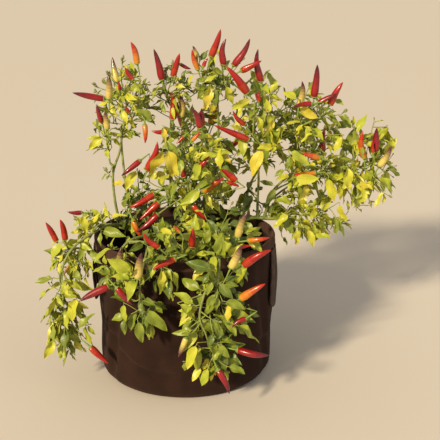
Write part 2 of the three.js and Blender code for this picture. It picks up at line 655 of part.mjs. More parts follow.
// A leaf sits at the end of a twig, points out of the mass and hangs a little. It tries several ways to lie
// before it is given up.
function growLeaf(mass, from, to, knots, leaves, random) {
  const ahead = to.clone().sub(from).normalize();
  const out = to.clone().sub(vector(mass.middle)).divide(vector(mass.half));
  for (let attempt = 0; attempt < LEAF_TRIES; attempt++) {
    const facing = new THREE.Vector3(random() - 0.5, random() - 0.5, random() - 0.5 - LEAF_HANG)
      .multiplyScalar(LEAF_SPREAD)
      .addScaledVector(out, LEAF_OUTWARD)
      .addScaledVector(ahead, LEAF_AHEAD)
      .normalize();
    facing.z = THREE.MathUtils.clamp(facing.z, -0.9, 0.9);
    facing.normalize();
    const roll = (random() - 0.5) * LEAF_ROLL;
    const length = LEAF_LENGTH * (0.8 + 0.35 * random()) * (1 - 0.015 * attempt);
    const leaf = leafAt(to, facing, roll, length);
    if (facing.dot(ahead) > LEAF_BACKWARD && leafIsClear(mass, leaf, knots, leaves)) return leaf;
  }
  return null;
}

// A twig whose leaf carries on its skin. A twig that is short enough is the leaf's own stalk.
function leafySolid(points, radii, leaf) {
  const rings = ringsAlong([...points, leaf.middle], [...radii, 0], 3, leaf.side);
  return solidOf(skin([...rings.slice(0, -1), leaf.broadest, [leaf.tip, leaf.tip, leaf.tip]]));
}

function fruitSolid({ crown, facing, length }) {
  const profile = FRUIT_PROFILE.map(([out, along]) => new THREE.Vector2(out * FRUIT_RADIUS, along * length));
  const geometry = new THREE.LatheGeometry(profile, FRUIT_SIDES);
  const turn = new THREE.Quaternion().setFromUnitVectors(new THREE.Vector3(0, 1, 0), facing);
  return solidOf(geometry.applyQuaternion(turn).translate(...crown.toArray()));
}

// A mass of foliage: twigs that branch from one stem, with their leaves and fruits fused on.
function massSolid(mass, bough, seed, limbParts) {
  const random = seededRandom(seed);
  const { points } = sampled(bough.curve, bough.radiusAt, LIMB_STEP);
  const ahead = points.at(-1).clone().sub(points.at(-2)).normalize();
  const root = points.at(-1).clone().addScaledVector(ahead, GAP);
  const leafEnds = twigEnds(mass, mass.grownFruits.map(({ joint }) => joint), random);
  const ends = [
    ...mass.grownFruits.map((fruit) => ({ place: fruit.joint, fruit })),
    ...leafEnds.map((place) => ({ place })),
  ];
  const { knots, branches } = growSkeleton(mass, root, ahead, ends, random);
  const radii = thicken(knots, bough.radiusAt(1));
  const pieces = [];
  for (const { branch, fruit, leaf } of branches) {
    const places = branch.map((i) => knots[i].place);
    const widths = branch.map((i) => radii[i]);
    if (branch[0] > 0) widths[0] = Math.min(widths[1] ?? TWIG_RADIUS, NECK_SHARE * widths[0]);
    if (fruit) {
      places.push(fruit.crown.clone().addScaledVector(fruit.facing, STALK_SUNK));
      widths.push(STALK_RADIUS);
      pieces.push(fruitSolid(fruit));
    }
    pieces.push(leaf ? leafySolid(places, widths, leaf) : limbSolid(places, widths, 3));
  }
  let solid = wasm.Manifold.union(pieces);
  for (const { grown } of limbParts) {
    if (!solid.intersect(grown).isEmpty()) solid = solid.subtract(grown);
  }
  return simpler(solid);
}

function mesh(name, geometry, material) {
  const made = new THREE.Mesh(geometry, material);
  made.name = name;
  return made;
}

const plant = new THREE.Group();
const container = new THREE.Group();
plant.add(container);
container.add(mesh("grow_bag", growBag(), FELT), mesh("potting_soil", pottingSoil(), POTTING_MIX));
for (const [name, turn] of [["handle_right", RIGHT_HANDLE_TURN], ["handle_left", LEFT_HANDLE_TURN]]) {
  const handle = mesh(name, handleLoop(), WEBBING);
  handle.rotation.z = radians(turn);
  container.add(handle);
}

const limbs = new Map([["main_stem", mainStem()]]);
for (const row of BOUGHS) limbs.set(row.name, boughOf(row, limbs));
for (const limb of limbs.values()) {
  const { points, radii } = sampled(limb.curve, limb.radiusAt);
  addObstacle(points, radii, null);
}
const limbParts = limbMeshes(limbs);
for (const { limb, solid, material } of limbParts) {
  plant.add(mesh(limb.name, geometryOf(solid), material));
}
for (const mass of MASSES) {
  mass.grownFruits = [];
  for (const row of mass.fruits) {
    const fruit = placeFruit(mass, row);
    if (!fruit) continue;
    addObstacle(fruit.line.points, fruit.line.radii, mass);
    mass.grownFruits.push(fruit);
  }
}
MASSES.forEach((mass, i) => {
  const bough = limbs.get(BOUGHS.find(({ into }) => into === mass.name).name);
  plant.add(mesh(`foliage_${mass.name}`, geometryOf(massSolid(mass, bough, 101 + i, limbParts)), LEAF));
});

export default plant;
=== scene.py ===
import collections
import functools
import json
import math

import bpy
import numpy as np
from bpy.props import FloatProperty, FloatVectorProperty, IntProperty, PointerProperty
from mathutils import Euler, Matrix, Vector

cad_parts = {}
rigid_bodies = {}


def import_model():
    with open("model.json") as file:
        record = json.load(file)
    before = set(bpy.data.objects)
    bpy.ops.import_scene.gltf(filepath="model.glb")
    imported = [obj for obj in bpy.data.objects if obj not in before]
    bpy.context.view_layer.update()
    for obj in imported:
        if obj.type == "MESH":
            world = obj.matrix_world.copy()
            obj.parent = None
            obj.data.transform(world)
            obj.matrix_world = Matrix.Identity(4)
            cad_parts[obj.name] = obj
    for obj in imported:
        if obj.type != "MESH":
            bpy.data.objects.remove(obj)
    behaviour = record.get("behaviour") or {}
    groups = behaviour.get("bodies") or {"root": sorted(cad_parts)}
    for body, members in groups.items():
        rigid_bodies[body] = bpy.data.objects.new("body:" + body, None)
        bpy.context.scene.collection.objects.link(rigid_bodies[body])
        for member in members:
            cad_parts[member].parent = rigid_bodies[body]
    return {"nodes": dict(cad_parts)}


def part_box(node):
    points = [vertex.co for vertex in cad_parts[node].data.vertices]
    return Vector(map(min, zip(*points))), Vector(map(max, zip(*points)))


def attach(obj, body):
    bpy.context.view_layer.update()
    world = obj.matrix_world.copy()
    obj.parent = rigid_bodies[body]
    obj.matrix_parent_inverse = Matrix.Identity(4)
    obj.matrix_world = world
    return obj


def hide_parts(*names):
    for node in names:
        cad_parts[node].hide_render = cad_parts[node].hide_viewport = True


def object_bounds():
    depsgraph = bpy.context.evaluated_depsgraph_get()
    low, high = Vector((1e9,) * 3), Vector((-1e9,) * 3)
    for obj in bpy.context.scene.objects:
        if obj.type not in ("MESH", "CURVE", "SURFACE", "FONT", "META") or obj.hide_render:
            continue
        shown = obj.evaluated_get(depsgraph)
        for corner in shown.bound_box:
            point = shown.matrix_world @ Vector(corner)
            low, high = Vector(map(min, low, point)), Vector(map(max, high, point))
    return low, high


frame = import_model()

bl_info = {
    "name": "Chilli pepper plant in a grow bag",
    "version": (1, 0, 0),
    "blender": (4, 5, 0),
    "location": "View3D > Sidebar > Chilli plant",
    "description": "Grows a fruiting chilli pepper plant in a soft felt bag",
    "category": "Object",
}

CAD_BOX = [list(corner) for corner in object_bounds()]
MM = 0.001
BAG_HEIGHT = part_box("grow_bag")[1].z
SOIL_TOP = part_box("potting_soil")[1].z
FOLIAGE = sorted(name for name in frame["nodes"] if name.startswith("foliage_"))

# How ripe a fruit is
RED, CRIMSON, ORANGE, CREAM = "red", "crimson", "orange", "cream"

# Shares of the leaf tints in a mass: deep, mid, fresh, lime and yellow. The mixes are partly the greens that
# the leaves have and partly painted light: DEEP and SHADY paint the shade on the masses inside the plant, low
# down and at its front, and OLIVE, BRIGHT and LIMY paint sunlight on the masses at its top and sides.
LEAF_TINTS = ("deep", "mid", "fresh", "lime", "yellow")
DEEP = (0.5, 0.34, 0.12, 0.04, 0.0)
MIXED = (0.13, 0.31, 0.32, 0.22, 0.02)
OLIVE = (0.11, 0.29, 0.32, 0.25, 0.03)
BRIGHT = (0.07, 0.25, 0.37, 0.29, 0.02)
SHADY = (0.34, 0.36, 0.2, 0.08, 0.02)
LIMY = (0.13, 0.26, 0.31, 0.27, 0.03)
BUDS_A_SPRAY = {DEEP: 0, SHADY: 1, MIXED: 1, OLIVE: 4, BRIGHT: 1, LIMY: 1}

# A mass of foliage: the middle and half size of its space, how many twig ends and sprays grow in it, how
# large its leaves are, its tint, its fruits and small fruits, how far sprays reach, and how leaves hang. A
# fruit is its crown's place across and up, its lean in degrees, its length and how ripe it is.
Mass = collections.namedtuple("Mass", "name middle half ends sprays leaf tint fruits small reach hang",
                              defaults=[(), 1.25, 0.25])

# A bough: what it leaves and how far along, the places it runs through, its radii, the mass it ends in, and
# how thickly short shoots stand on it
Bough = collections.namedtuple("Bough", "name parent at through radii into shoots", defaults=[0.6])

MASSES = [
    Mass("upper_left", (-88, -10, 465), (48, 45, 54), 22, 13, 0.68, OLIVE, reach=1.2, hang=0.1,
         fruits=[(-70, 524, -14, 36, ORANGE), (-123, 470, -76, 50, CRIMSON), (-114, 473, 2, 40, CREAM),
             (-77, 500, -30, 24, RED), (-61, 430, 180, 30, ORANGE)],
         small=[(-98, 483, -8, 15, RED), (-90, 484, -1, 21, CREAM), (-85, 447, -30, 14, RED)]),
    Mass("left_sprig", (-126, 0, 402), (33, 30, 33), 9, 6, 0.8, BRIGHT, reach=1.15, hang=0.25,
         fruits=[(-130, 430, -12, 32, CRIMSON), (-121, 420, -3, 32, CREAM)]),
    Mass("top_left", (-18, 10, 472), (39, 40, 51), 18, 11, 0.7, OLIVE, reach=1.3, hang=0.12,
         fruits=[(-33, 496, -13, 52, CRIMSON), (-16, 501, 17, 40, RED), (-17, 430, -3, 46, RED),
             (-3, 434, -4, 38, CREAM)],
         small=[(-4, 520, 113, 19, CRIMSON), (-12, 419, -31, 24, CRIMSON)]),
    Mass("top_centre", (54, -10, 496), (38, 38, 43), 18, 11, 0.76, OLIVE, reach=1.3, hang=0.15,
         fruits=[(24, 514, -16, 34, ORANGE), (44, 534, 19, 46, RED), (64, 521, 4, 42, CRIMSON),
             (79, 520, 30, 50, CRIMSON), (91, 512, 62, 36, RED)],
         small=[(32, 520, 31, 15, RED), (22, 532, -18, 20, CREAM)]),
    Mass("upper_right", (121, 0, 429), (43, 48, 78), 25, 17, 1.02, BRIGHT, reach=1.2, hang=0.3,
         fruits=[(124, 493, -7, 54, CRIMSON), (101, 478, -38, 56, RED), (98, 426, -39, 32, RED),
             (105, 402, -65, 64, RED)],
         small=[(120, 463, -3, 17, RED)]),
    Mass("right_top", (212, 10, 418), (54, 50, 58), 24, 18, 0.9, OLIVE, reach=1.3, hang=0.25,
         fruits=[(209, 468, 2, 54, CRIMSON), (185, 454, 4, 42, CREAM), (203, 461, -98, 32, CRIMSON),
             (214, 460, 62, 34, CRIMSON), (235, 456, 26, 42, RED)]),
    Mass("far_right", (304, -10, 354), (49, 48, 73), 25, 21, 1.02, BRIGHT, reach=1.25, hang=0.3,
         fruits=[(291, 372, -8, 48, ORANGE), (308, 382, -2, 42, CRIMSON), (316, 358, 24, 40, CREAM)],
         small=[(303, 382, -7, 21, RED)]),
    Mass("right_mid", (203, -20, 341), (47, 40, 36), 16, 12, 1.08, BRIGHT, reach=1.35, hang=0.3,
         fruits=[(218, 374, -71, 34, ORANGE), (212, 350, -87, 38, ORANGE)]),
    Mass("right_low", (208, 30, 252), (66, 48, 43), 24, 24, 1.05, BRIGHT, reach=1.35, hang=0.3,
         fruits=[]),
    Mass("centre", (10, -30, 354), (70, 60, 72), 32, 19, 0.92, MIXED, reach=1.15, hang=0.3,
         fruits=[(26, 428, -22, 36, CRIMSON), (-24, 424, -86, 26, RED), (0, 350, -21, 36, CRIMSON),
             (17, 357, 39, 38, RED), (30, 326, 53, 42, ORANGE), (82, 346, -50, 34, RED),
             (-58, 362, 20, 52, RED), (12, 305, 135, 36, RED), (-47, 324, -116, 46, RED),
             (-40, 310, -130, 42, RED), (-42, 290, -127, 46, CRIMSON), (-68, 378, -127, 38, CRIMSON)],
         small=[(1, 416, -132, 17, RED), (13, 411, 39, 20, ORANGE), (30, 430, -3, 29, CRIMSON),
             (66, 343, 111, 23, RED)]),
    Mass("inner_left", (-73, -20, 293), (37, 45, 59), 20, 14, 0.85, DEEP, reach=1.12, hang=0.3,
         fruits=[(-84, 276, 153, 36, ORANGE)]),
    Mass("left_low", (-150, 0, 262), (45, 40, 33), 14, 5, 0.66, MIXED, reach=1.15, hang=0.2,
         fruits=[(-168, 282, -82, 24, CRIMSON)]),
    Mass("left", (-180, -50, 213), (46, 42, 42), 20, 10, 0.85, BRIGHT, reach=1.3, hang=0.3,
         fruits=[(-204, 250, -22, 38, RED), (-190, 252, -8, 38, RED)],
         small=[(-187, 208, -154, 14, ORANGE)]),
    Mass("hanging_left", (-197, -80, 114), (44, 38, 69), 24, 8, 1.0, LIMY, reach=1.15, hang=0.6,
         fruits=[(-155, 82, 132, 40, RED)]),
    Mass("front_left", (-102, -150, 221), (42, 28, 34), 18, 7, 0.82, MIXED, reach=1.1, hang=0.35,
         fruits=[(-115, 209, -114, 50, CRIMSON), (-103, 211, 137, 36, CRIMSON), (-94, 231, 1, 44, CREAM)],
         small=[(-97, 250, -102, 18, ORANGE)]),
    Mass("front_left_low", (-70, -172, 156), (40, 22, 37), 14, 4, 1.0, DEEP, reach=1.25, hang=0.5,
         fruits=[]),
    Mass("front_middle", (-34, -160, 244), (32, 34, 52), 20, 13, 0.84, SHADY, reach=1.3, hang=0.3,
         fruits=[(-38, 273, -40, 34, RED), (-14, 255, -111, 38, RED), (-70, 231, 10, 44, CREAM)],
         small=[(-26, 320, -150, 12, RED), (-7, 296, -34, 15, ORANGE)]),
    Mass("front_centre", (47, -110, 248), (64, 65, 60), 33, 20, 0.9, SHADY, reach=1.25, hang=0.3,
         fruits=[(10, 262, 4, 34, RED), (79, 277, 19, 46, CREAM), (95, 271, 78, 34, ORANGE)],
         small=[(83, 260, 79, 18, RED)]),
    Mass("hanging_front", (44, -185, 162), (58, 28, 52), 28, 8, 0.98, SHADY, reach=1.2, hang=0.35,
         fruits=[(52, 251, 18, 46, ORANGE), (66, 248, 21, 42, CREAM), (84, 249, 56, 50, RED),
             (80, 199, 53, 46, ORANGE), (90, 168, -120, 26, CRIMSON), (0, 138, -157, 32, CREAM)]),
    Mass("hanging_front_tip", (43, -185, 93), (47, 26, 45), 18, 6, 0.98, SHADY, reach=1.2, hang=0.45,
         fruits=[(76, 116, 96, 50, CRIMSON), (47, 84, 155, 42, CRIMSON)]),
    Mass("back_left", (-98, 75, 448), (46, 38, 48), 12, 14, 0.8, OLIVE,
         fruits=[(-112, 478, -10, 44, CREAM)]),
    Mass("back_centre", (30, 92, 350), (70, 52, 78), 16, 34, 1.0, MIXED,
         fruits=[(2, 392, -14, 48, RED), (48, 400, 20, 44, ORANGE), (70, 350, 60, 48, RED)]),
    Mass("back_right", (165, 100, 402), (68, 48, 58), 13, 24, 1.0, MIXED,
         fruits=[(140, 432, -18, 50, CRIMSON), (206, 396, 70, 42, RED)]),
    Mass("back_far_right", (255, 75, 330), (45, 40, 50), 10, 18, 0.98, BRIGHT,
         fruits=[(246, 352, 6, 44, RED)]),
    Mass("back_low", (25, 120, 284), (58, 48, 40), 12, 20, 1.0, DEEP,
         fruits=[(0, 300, -30, 44, RED)]),
    Mass("back_hanging", (-30, 188, 180), (62, 24, 56), 11, 18, 1.08, MIXED, reach=1.2, hang=0.5,
         fruits=[(4, 176, 160, 46, CRIMSON)]),
]

BOUGHS = [
    Bough("left_bough", "main_stem", 0.35, [(-45, 2, 228), (-92, 2, 244)],
          (4.4, 3.2), "left_low", 0.35),
    Bough("right_bough", "main_stem", 0.42, [(62, 18, 236), (112, 38, 250)],
          (4.6, 3.4), "right_low", 0.7),
    Bough("upper_left_stem", "left_bough", 0.85, [(-114, 0, 284), (-117, 0, 340), (-105, -4, 378)],
          (2.8, 2), "upper_left", 0.3),
    Bough("left_sprig_stem", "upper_left_stem", 0.58, [(-121, 0, 360)],
          (1.8, 1.6), "left_sprig", 0.5),
    Bough("back_left_stem", "left_bough", 0.62, [(-98, 36, 300), (-106, 62, 375)],
          (2.8, 2), "back_left", 0.3),
    Bough("inner_left_stem", "left_bough", 0.34, [(-48, -8, 246)],
          (2.6, 2.2), "inner_left", 0.8),
    Bough("left_rim_bough", "left_bough", 0.66, [(-112, -26, 262), (-142, -36, 262)],
          (2.8, 2.2), "left", 0.9),
    Bough("hanging_left_bough", "left_rim_bough", 0.3,
          [(-132, -62, 268), (-176, -96, 246), (-196, -102, 205)],
          (2.6, 1.9), "hanging_left", 1.3),
    Bough("front_left_bough", "main_stem", 0.52, [(-32, -60, 256), (-76, -118, 268), (-94, -142, 262)],
          (3.4, 2.2), "front_left", 0.3),
    Bough("front_left_low_stem", "front_left_bough", 0.6,
          [(-58, -142, 266), (-64, -178, 238), (-68, -182, 208)],
          (2.4, 1.8), "front_left_low", 1.0),
    Bough("hanging_front_bough", "main_stem", 0.62,
          [(22, -58, 230), (36, -112, 246), (46, -150, 262), (50, -176, 252), (48, -190, 228)],
          (4, 2.4), "hanging_front", 1.4),
    Bough("hanging_tip_stem", "hanging_front_bough", 0.84,
          [(30, -202, 215), (20, -206, 175), (28, -202, 148)],
          (2.2, 1.8), "hanging_front_tip", 1.0),
    Bough("front_middle_bough", "main_stem", 0.76, [(-10, -52, 266)],
          (3, 2.2), "front_middle", 1.2),
    Bough("front_centre_bough", "main_stem", 0.88, [(26, -34, 266)],
          (3.2, 2.6), "front_centre", 1.2),
    Bough("back_hanging_bough", "main_stem", 0.5, [(-8, 66, 250), (-24, 136, 266), (-30, 170, 258)],
          (3.2, 2.2), "back_hanging"),
    Bough("back_low_bough", "main_stem", 0.7, [(20, 42, 254)],
          (3, 2.4), "back_low"),
    Bough("back_centre_bough", "main_stem", 0.86, [(10, 30, 272)],
          (3.2, 2.6), "back_centre"),
    Bough("centre_bough", "main_stem", 0.97, [(12, -10, 272)],
          (3.6, 3), "centre", 1.0),
    Bough("top_left_bough", "main_stem", 0.92, [(-10, 12, 290), (-24, 34, 340), (-22, 34, 392)],
          (3.2, 2), "top_left", 0.35),
    Bough("top_centre_bough", "main_stem", 0.92, [(38, 10, 290), (54, 32, 350), (58, 22, 410)],
          (3.2, 2), "top_centre", 0.35),
    Bough("upper_right_stem", "right_bough", 0.8, [(126, 36, 284), (126, 24, 320)],
          (2.8, 2.2), "upper_right", 0.4),
    Bough("right_top_stem", "right_bough", 0.92, [(156, 54, 296), (190, 34, 338)],
          (2.8, 2), "right_top", 0.4),
    Bough("right_mid_stem", "right_top_stem", 0.32, [(166, 26, 310)],
          (2, 1.7), "right_mid", 0.8),
    Bough("far_right_stem", "right_top_stem", 0.55, [(218, 40, 326), (246, 20, 342)],
          (2.2, 1.8), "far_right", 0.9),
    Bough("back_far_right_stem", "right_top_stem", 0.2, [(184, 78, 296)],
          (2.2, 1.8), "back_far_right"),
    Bough("back_right_stem", "right_bough", 0.66, [(112, 74, 290), (132, 90, 326)],
          (2.8, 2.2), "back_right"),
]

# Leaves that stand out in the picture, by mass: the ends of each blade, across and down in pixels, and its
# tint from deep to yellow
SHOWN_LEAVES = {
    "top_centre": [(210, 88, 207, 111, 4), (215, 89, 215, 107, 0), (226, 87, 234, 105, 3)],
    "upper_right": [(249, 99, 232, 110, 3), (273, 119, 263, 138, 4), (257, 117, 263, 137, 3),
        (262, 150, 252, 177, 4)],
    "upper_left": [(136, 110, 157, 124, 1)],
    "centre": [(163, 128, 165, 144, 4), (162, 151, 151, 177, 4), (168, 151, 174, 178, 4),
        (222, 149, 218, 171, 3)],
    "left_sprig": [(102, 137, 89, 151, 3), (104, 134, 114, 141, 2)],
    "inner_left": [(136, 171, 126, 191, 3)],
    "right_top": [(300, 107, 319, 118, 4), (296, 98, 283, 92, 3), (342, 137, 333, 152, 3)],
    "far_right": [(347, 168, 351, 191, 3), (359, 185, 374, 188, 4), (384, 193, 374, 208, 3),
        (372, 142, 385, 158, 1), (379, 178, 395, 191, 2)],
    "right_mid": [(329, 179, 333, 203, 3), (296, 178, 319, 179, 3), (291, 152, 311, 165, 2)],
    "right_low": [(288, 215, 272, 226, 3), (296, 230, 297, 246, 3), (308, 230, 314, 248, 3),
        (315, 236, 330, 235, 2), (276, 200, 295, 203, 2), (340, 205, 345, 224, 3)],
    "hanging_left": [(56, 296, 46, 318, 3), (77, 299, 71, 324, 3), (53, 340, 44, 360, 3),
        (79, 328, 95, 313, 1)],
    "front_centre": [(206, 265, 192, 281, 4), (229, 262, 250, 275, 1), (247, 268, 232, 284, 2)],
    "front_middle": [(161, 271, 160, 295, 3), (172, 272, 182, 291, 2)],
    "front_left": [(139, 269, 143, 286, 3)],
    "hanging_front": [(231, 305, 225, 322, 4), (237, 326, 263, 339, 2), (202, 324, 224, 341, 1),
        (180, 305, 198, 317, 2), (226, 302, 246, 309, 1), (197, 332, 183, 352, 2)],
    "hanging_front_tip": [(196, 346, 186, 370, 3), (229, 367, 246, 373, 1), (208, 369, 200, 387, 2),
        (222, 352, 212, 362, 1)],
    "front_left_low": [(145, 311, 167, 334, 1), (124, 305, 125, 322, 2), (138, 322, 143, 345, 1)],
    "left": [(62, 243, 50, 262, 2), (83, 216, 86, 235, 3), (92, 268, 103, 284, 2)],
}

# Where the picture was taken from: its width and the lens in pixels, the eye in millimetres, and the ways it
# faces, and the width in millimetres of the sensor that draws it
PICTURE = 440
FOCAL = 820
SENSOR = 36
PITCH, YAW = math.radians(17.1), math.radians(2.58)
EYE = np.array([0.0, -1320.0, 666.0])
EYE_RIGHT = np.array([math.cos(YAW), -math.sin(YAW), 0])
EYE_LEVEL = np.array([math.sin(YAW), math.cos(YAW), 0])
EYE_FORWARD = EYE_LEVEL * math.cos(PITCH) - np.array([0, 0, math.sin(PITCH)])
EYE_UP = EYE_LEVEL * math.sin(PITCH) + np.array([0, 0, math.cos(PITCH)])

# Leaves that stand out: the depths tried, as shares of the mass's, how much nearer the tip is, where along a
# leaf its room is tested, and how far it keeps from its neighbours
SHOWN_DEPTHS = (0.75, 0.9, 0.5, 0.25, 1.0)
SHOWN_TIP_NEARER = 3
SHOWN_ALONG = (0.3, 0.65, 1.0)
SHOWN_APART = 1.5

# The part's own box, with the little that leaves may stand proud of it
ROOM_LOW, ROOM_HIGH = np.array(CAD_BOX[0]) / MM + (-7, -7, 7), np.array(CAD_BOX[1]) / MM + 7

# The solids' own rule, in millimetres: the main stem
SOIL_LEVEL = 190
STEM_PLACES = ((5, 0, SOIL_LEVEL - 6), (12, -4, 250))
STEM_RADII = (8.5, 6.5)
FLARE = 6.5
FLARE_SHARE = 0.35
LIMB_STEP = 28
SAMPLE_STEP = 4
BOUGH_INTO_MASS = 0.96

# Its twigs: their size and sag, how far they reach, and what a longer way and a fork cost
TWIG_RADIUS = 1.2
TWIG_THICKENING = 2.4
TWIG_STEP = 55
TWIG_SAG = 3
SEGMENT_STEP = 5
TWIG_REACH = 1.1
TWIG_APART = 3.6
KNOTS_A_STEP = 4
SHORT_TWIG = 15
END_TRIES = 12
END_INSET = 16
STEM_LEAD = 6
HEART_SHARE = 0.6
WAY_COST = 0.3
FORK_COST = 10
JOINT_TRIES = 16
FAR_AWAY = 1e3

# Its leaves
LEAF_LENGTH = 46
LEAF_WIDTH = 0.56
LEAF_THICKNESS = 1.8
LEAF_BROADEST = 0.42
LEAF_DROOP = 0.1
LEAF_HANG = 0.75
LEAF_SPREAD = 1.6
LEAF_OUTWARD = 0.6
LEAF_AHEAD = 0.4
LEAF_ROLL = 1.1
LEAF_BACKWARD = -0.25
LEAF_REACH = 1.15
LEAF_TRIES = 24
LEAF_APART = 4.5

# Its fruits, and the depths tried for them, as shares of the mass's
FRUIT_RADIUS = 5.6
FRUIT_TILT = 12
FRUIT_AHEAD = (0.55, 0.75, 0.35, 0.95, 0.1, -0.15, -0.4)
FRUIT_ROOM = 4.2
FRUIT_REACH = 1.6
FRUIT_BALL_STEP = 6
STALK_LENGTH = 18
STALK_RADIUS = 1.3
STALK_SUNK = 4
SMALL_FRUIT_ROOM = 2.4
SMALL_STALK_LENGTH = 9

# What it keeps clear: between masses, and round the bag, its rim and the mix in it
CELL_MARGIN = 0.08
CLEARANCE = 1
BAG_CLEAR_OUTSIDE = 164
BAG_CLEAR_INSIDE = 138
RIM_CLEAR = 243
SOIL_CLEAR = 196
GAP = 0.3

# What the finer growth adds: sprays of leaves on short twigs, closer together than the solids' leaves
SPRAY_LEAVES = (2, 4)
SPRAY_TURN = 2.4
SPRAY_BACK = 3.25
SPRAY_OPEN = (0.55, 1.25)
SPRAY_OUTWARD = 0.4
SPRAY_TRIES = 7
SPRAY_TRY_TURN = 0.9
SPRAY_END_TRIES = 10
SPRAY_INSET = 9
SPRAY_ACROSS = (0.31, 0.17, 0.93)
BUDS_SHARE = 0.8
YOUNGEST_LEAF = 0.7
FINE_LEAF = (25, 45)
BY_MAIN_LEAF = 0.75
FINE_APART = 3.2
FINE_CLEARANCE = 0.8
FINE_TWIG_RADIUS = 0.7
MAIN_LEAF_SHARE = 0.84

# How a blade turns its face: up, outwards, towards the light, and at random, and its share of the leaf
BLADE_UP = 0.62
BLADE_OUT = 0.5
BLADE_AXIS = 40
BLADE_RANDOM = 1.1
LIGHT_WAY = (-0.27, -0.36, 0.2)
BLADE_SHARE = 0.87

# Short shoots along the boughs
SHOOT_STEP = 15
SHOOT_FROM = 0.16
SHOOT_LENGTH = (7, 24)
SHOOT_BALLS = 6
SHOOT_TRIES = 6
SHOOT_REACH = 9

# The room kept before a fruit or a leaf that stands out: where along a fruit it starts, how far out it goes,
# how wide it is, and where the plant's back begins
FRUIT_ALONG = (0.15, 0.5, 0.85)
SHOWN_STEPS = (9, 18, 27)
SHOWN_RADIUS = 4.5
BACK_FROM = 60

# Patches of colour: the shares of a texture at which the first one gives way and the last one holds
PATCHES_FROM, PATCHES_TO = 0.34, 0.66

# The bag, in metres: the sides and cuts of its wall, the rounding of its foot, and the rings of its floor
BAG_SIDES = 192
WALL_CUTS = 72
FOOT_BEVEL = 0.018
FLOOR_RINGS, FLOOR_RING_WIDTH = 4, 0.028
FLAT = 1e-5

# Its standing creases: where round it, how far each leans, how wide it is and how deep
BAG_CREASES = ((-2.42, 0.34, 0.075, 2.8), (-1.98, -0.5, 0.13, 1.7), (-1.2, 0.4, 0.12, 1.2),
               (-0.55, -0.25, 0.09, 1.9), (0.25, 0.3, 0.11, 1.8), (0.9, -0.4, 0.13, 1.3),
               (1.7, 0.3, 0.12, 2.0), (2.5, -0.3, 0.1, 1.7))

# Its slack folds near the foot: where round it each is lowest, how high there in metres, how fast it rises to
# its ends, how far it runs round and how deep it is
BAG_SWAGS = ((-1.8, 0.05, 0.09, 0.9, 1.1), (-0.45, 0.075, 0.12, 0.6, 0.8), (1.15, 0.055, 0.1, 0.8, 0.9),
             (2.45, 0.08, 0.14, 0.55, 0.8))
SWAG_WIDTH = 0.01
FOLD_LIMIT = 0.008

# Its hem: how thick the band is and how it ripples, where its rows of stitches lie over its foot, how many
# there are in each, half the turn that each takes, its bow and its thread
HEM_DEPTH = 0.0016
HEM_RIPPLE, HEM_RIPPLE_SIZE = 0.0006, 0.05
HEM_ROWS = (0.0032, 0.0054)
HEM_STITCHES = 230
HEM_STITCH_TURN = 0.0088
HEM_STITCH_BOW = np.array([-0.0004, 0.0002, 0.0002, -0.0004])
HEM_THREAD = 0.00042

# Its handles: which way each faces in degrees, the webbing's thickness and section, the slit between a
# handle's legs, how far it hangs, the radius that it is bent to, its gap from the wall and its slack
HANDLES = (("handle_right", -14), ("handle_left", 176))
STRAP_THICKNESS = 0.0024
STRAP_SECTION = np.array([(-1, 0.15), (-0.94, 0), (0, 0), (0.94, 0), (1, 0.15),
                          (1, 0.85), (0.94, 1), (0, 1.08), (-0.94, 1), (-1, 0.85)])
STRAP_STEPS = 15
STRAP_SLIT = 0.003
STRAP_DROP = 0.104
STRAP_BEND = 0.15
STRAP_GAP = 0.0008
STRAP_SLACK = 0.0022
STRAP_UNDER_HEM = 0.0003

# The stitches of a handle's legs: across and down in metres, how long each is, how far out, and its bow
STRAP_STITCHES = [(across, low) for across in (-0.006, 0.006) for low in np.arange(0.002, 0.02, 0.003)]
STRAP_STITCH = np.array([0, 0.0007, 0.0014, 0.0021])
STRAP_STITCH_OUT = 0.0036
STRAP_STITCH_BOW = np.array([-0.0004, 0.0003, 0.0003, -0.0004])
STRAP_THREAD = 0.0004

# The potting mix: the rings of its surface, its depth and dome, and how far its crumbs keep from the wall
MIX_SIDES = 96
MIX_RINGS, MIX_RING_WIDTH = 26, 0.0052
MIX_BELOW_TOP = 0.006
MIX_DEPTH = 0.05
MIX_DOME, DOME_FROM, DOME_TO_EDGE = 0.005, 0.06, 0.085
WALL_GAP = 0.0008
CRUMBS_INSIDE = 0.006
CRUMB_SIZE, CRUMB_SPREAD = 0.0011, 0.0026
CRUMB_SHAPES = 6

# The skin of a limb: its sides, how far it swells at a fork, and how deep its ridges are, and how a bough is
# drawn against its solid, with a collar where it starts
SKIN_STEP = 2.5
STEM_SKIN = (20, 0.1, 0.07)
BOUGH_SKIN = (10, 0.16, 0.045)
BOUGH_SHARE = 0.84
COLLAR, COLLAR_LENGTH = 0.45, 9
FORK_REACH = 7

# A twig's sides, how far its knots stray from its line, how wide it starts against its next knot, and how
# a short shoot tapers
TWIG_SIDES = 5
TWIG_STRAY, STRAY_SIZE, STRAY_FROM = 1.1, 26, 12
TWIG_START = 1.35
SHOOT_RADII = (1.1, 0.9, 0.7)

# A leaf's blade: where its rows and columns lie, how many shapes it comes in, and its outline
LEAF_STATIONS = np.array([0, 0.08, 0.2, 0.34, 0.5, 0.66, 0.82, 0.93, 1.0])
LEAF_COLUMNS = np.array([-1, -0.52, 0, 0.52, 1])
LEAF_SHAPES = 10
BLADE_WIDTH = 0.57
BLADE_PEAK = 0.5095
RIB_ROWS = (0, 2, 4, 6)
STALK_RADII = (0.62, 0.16)

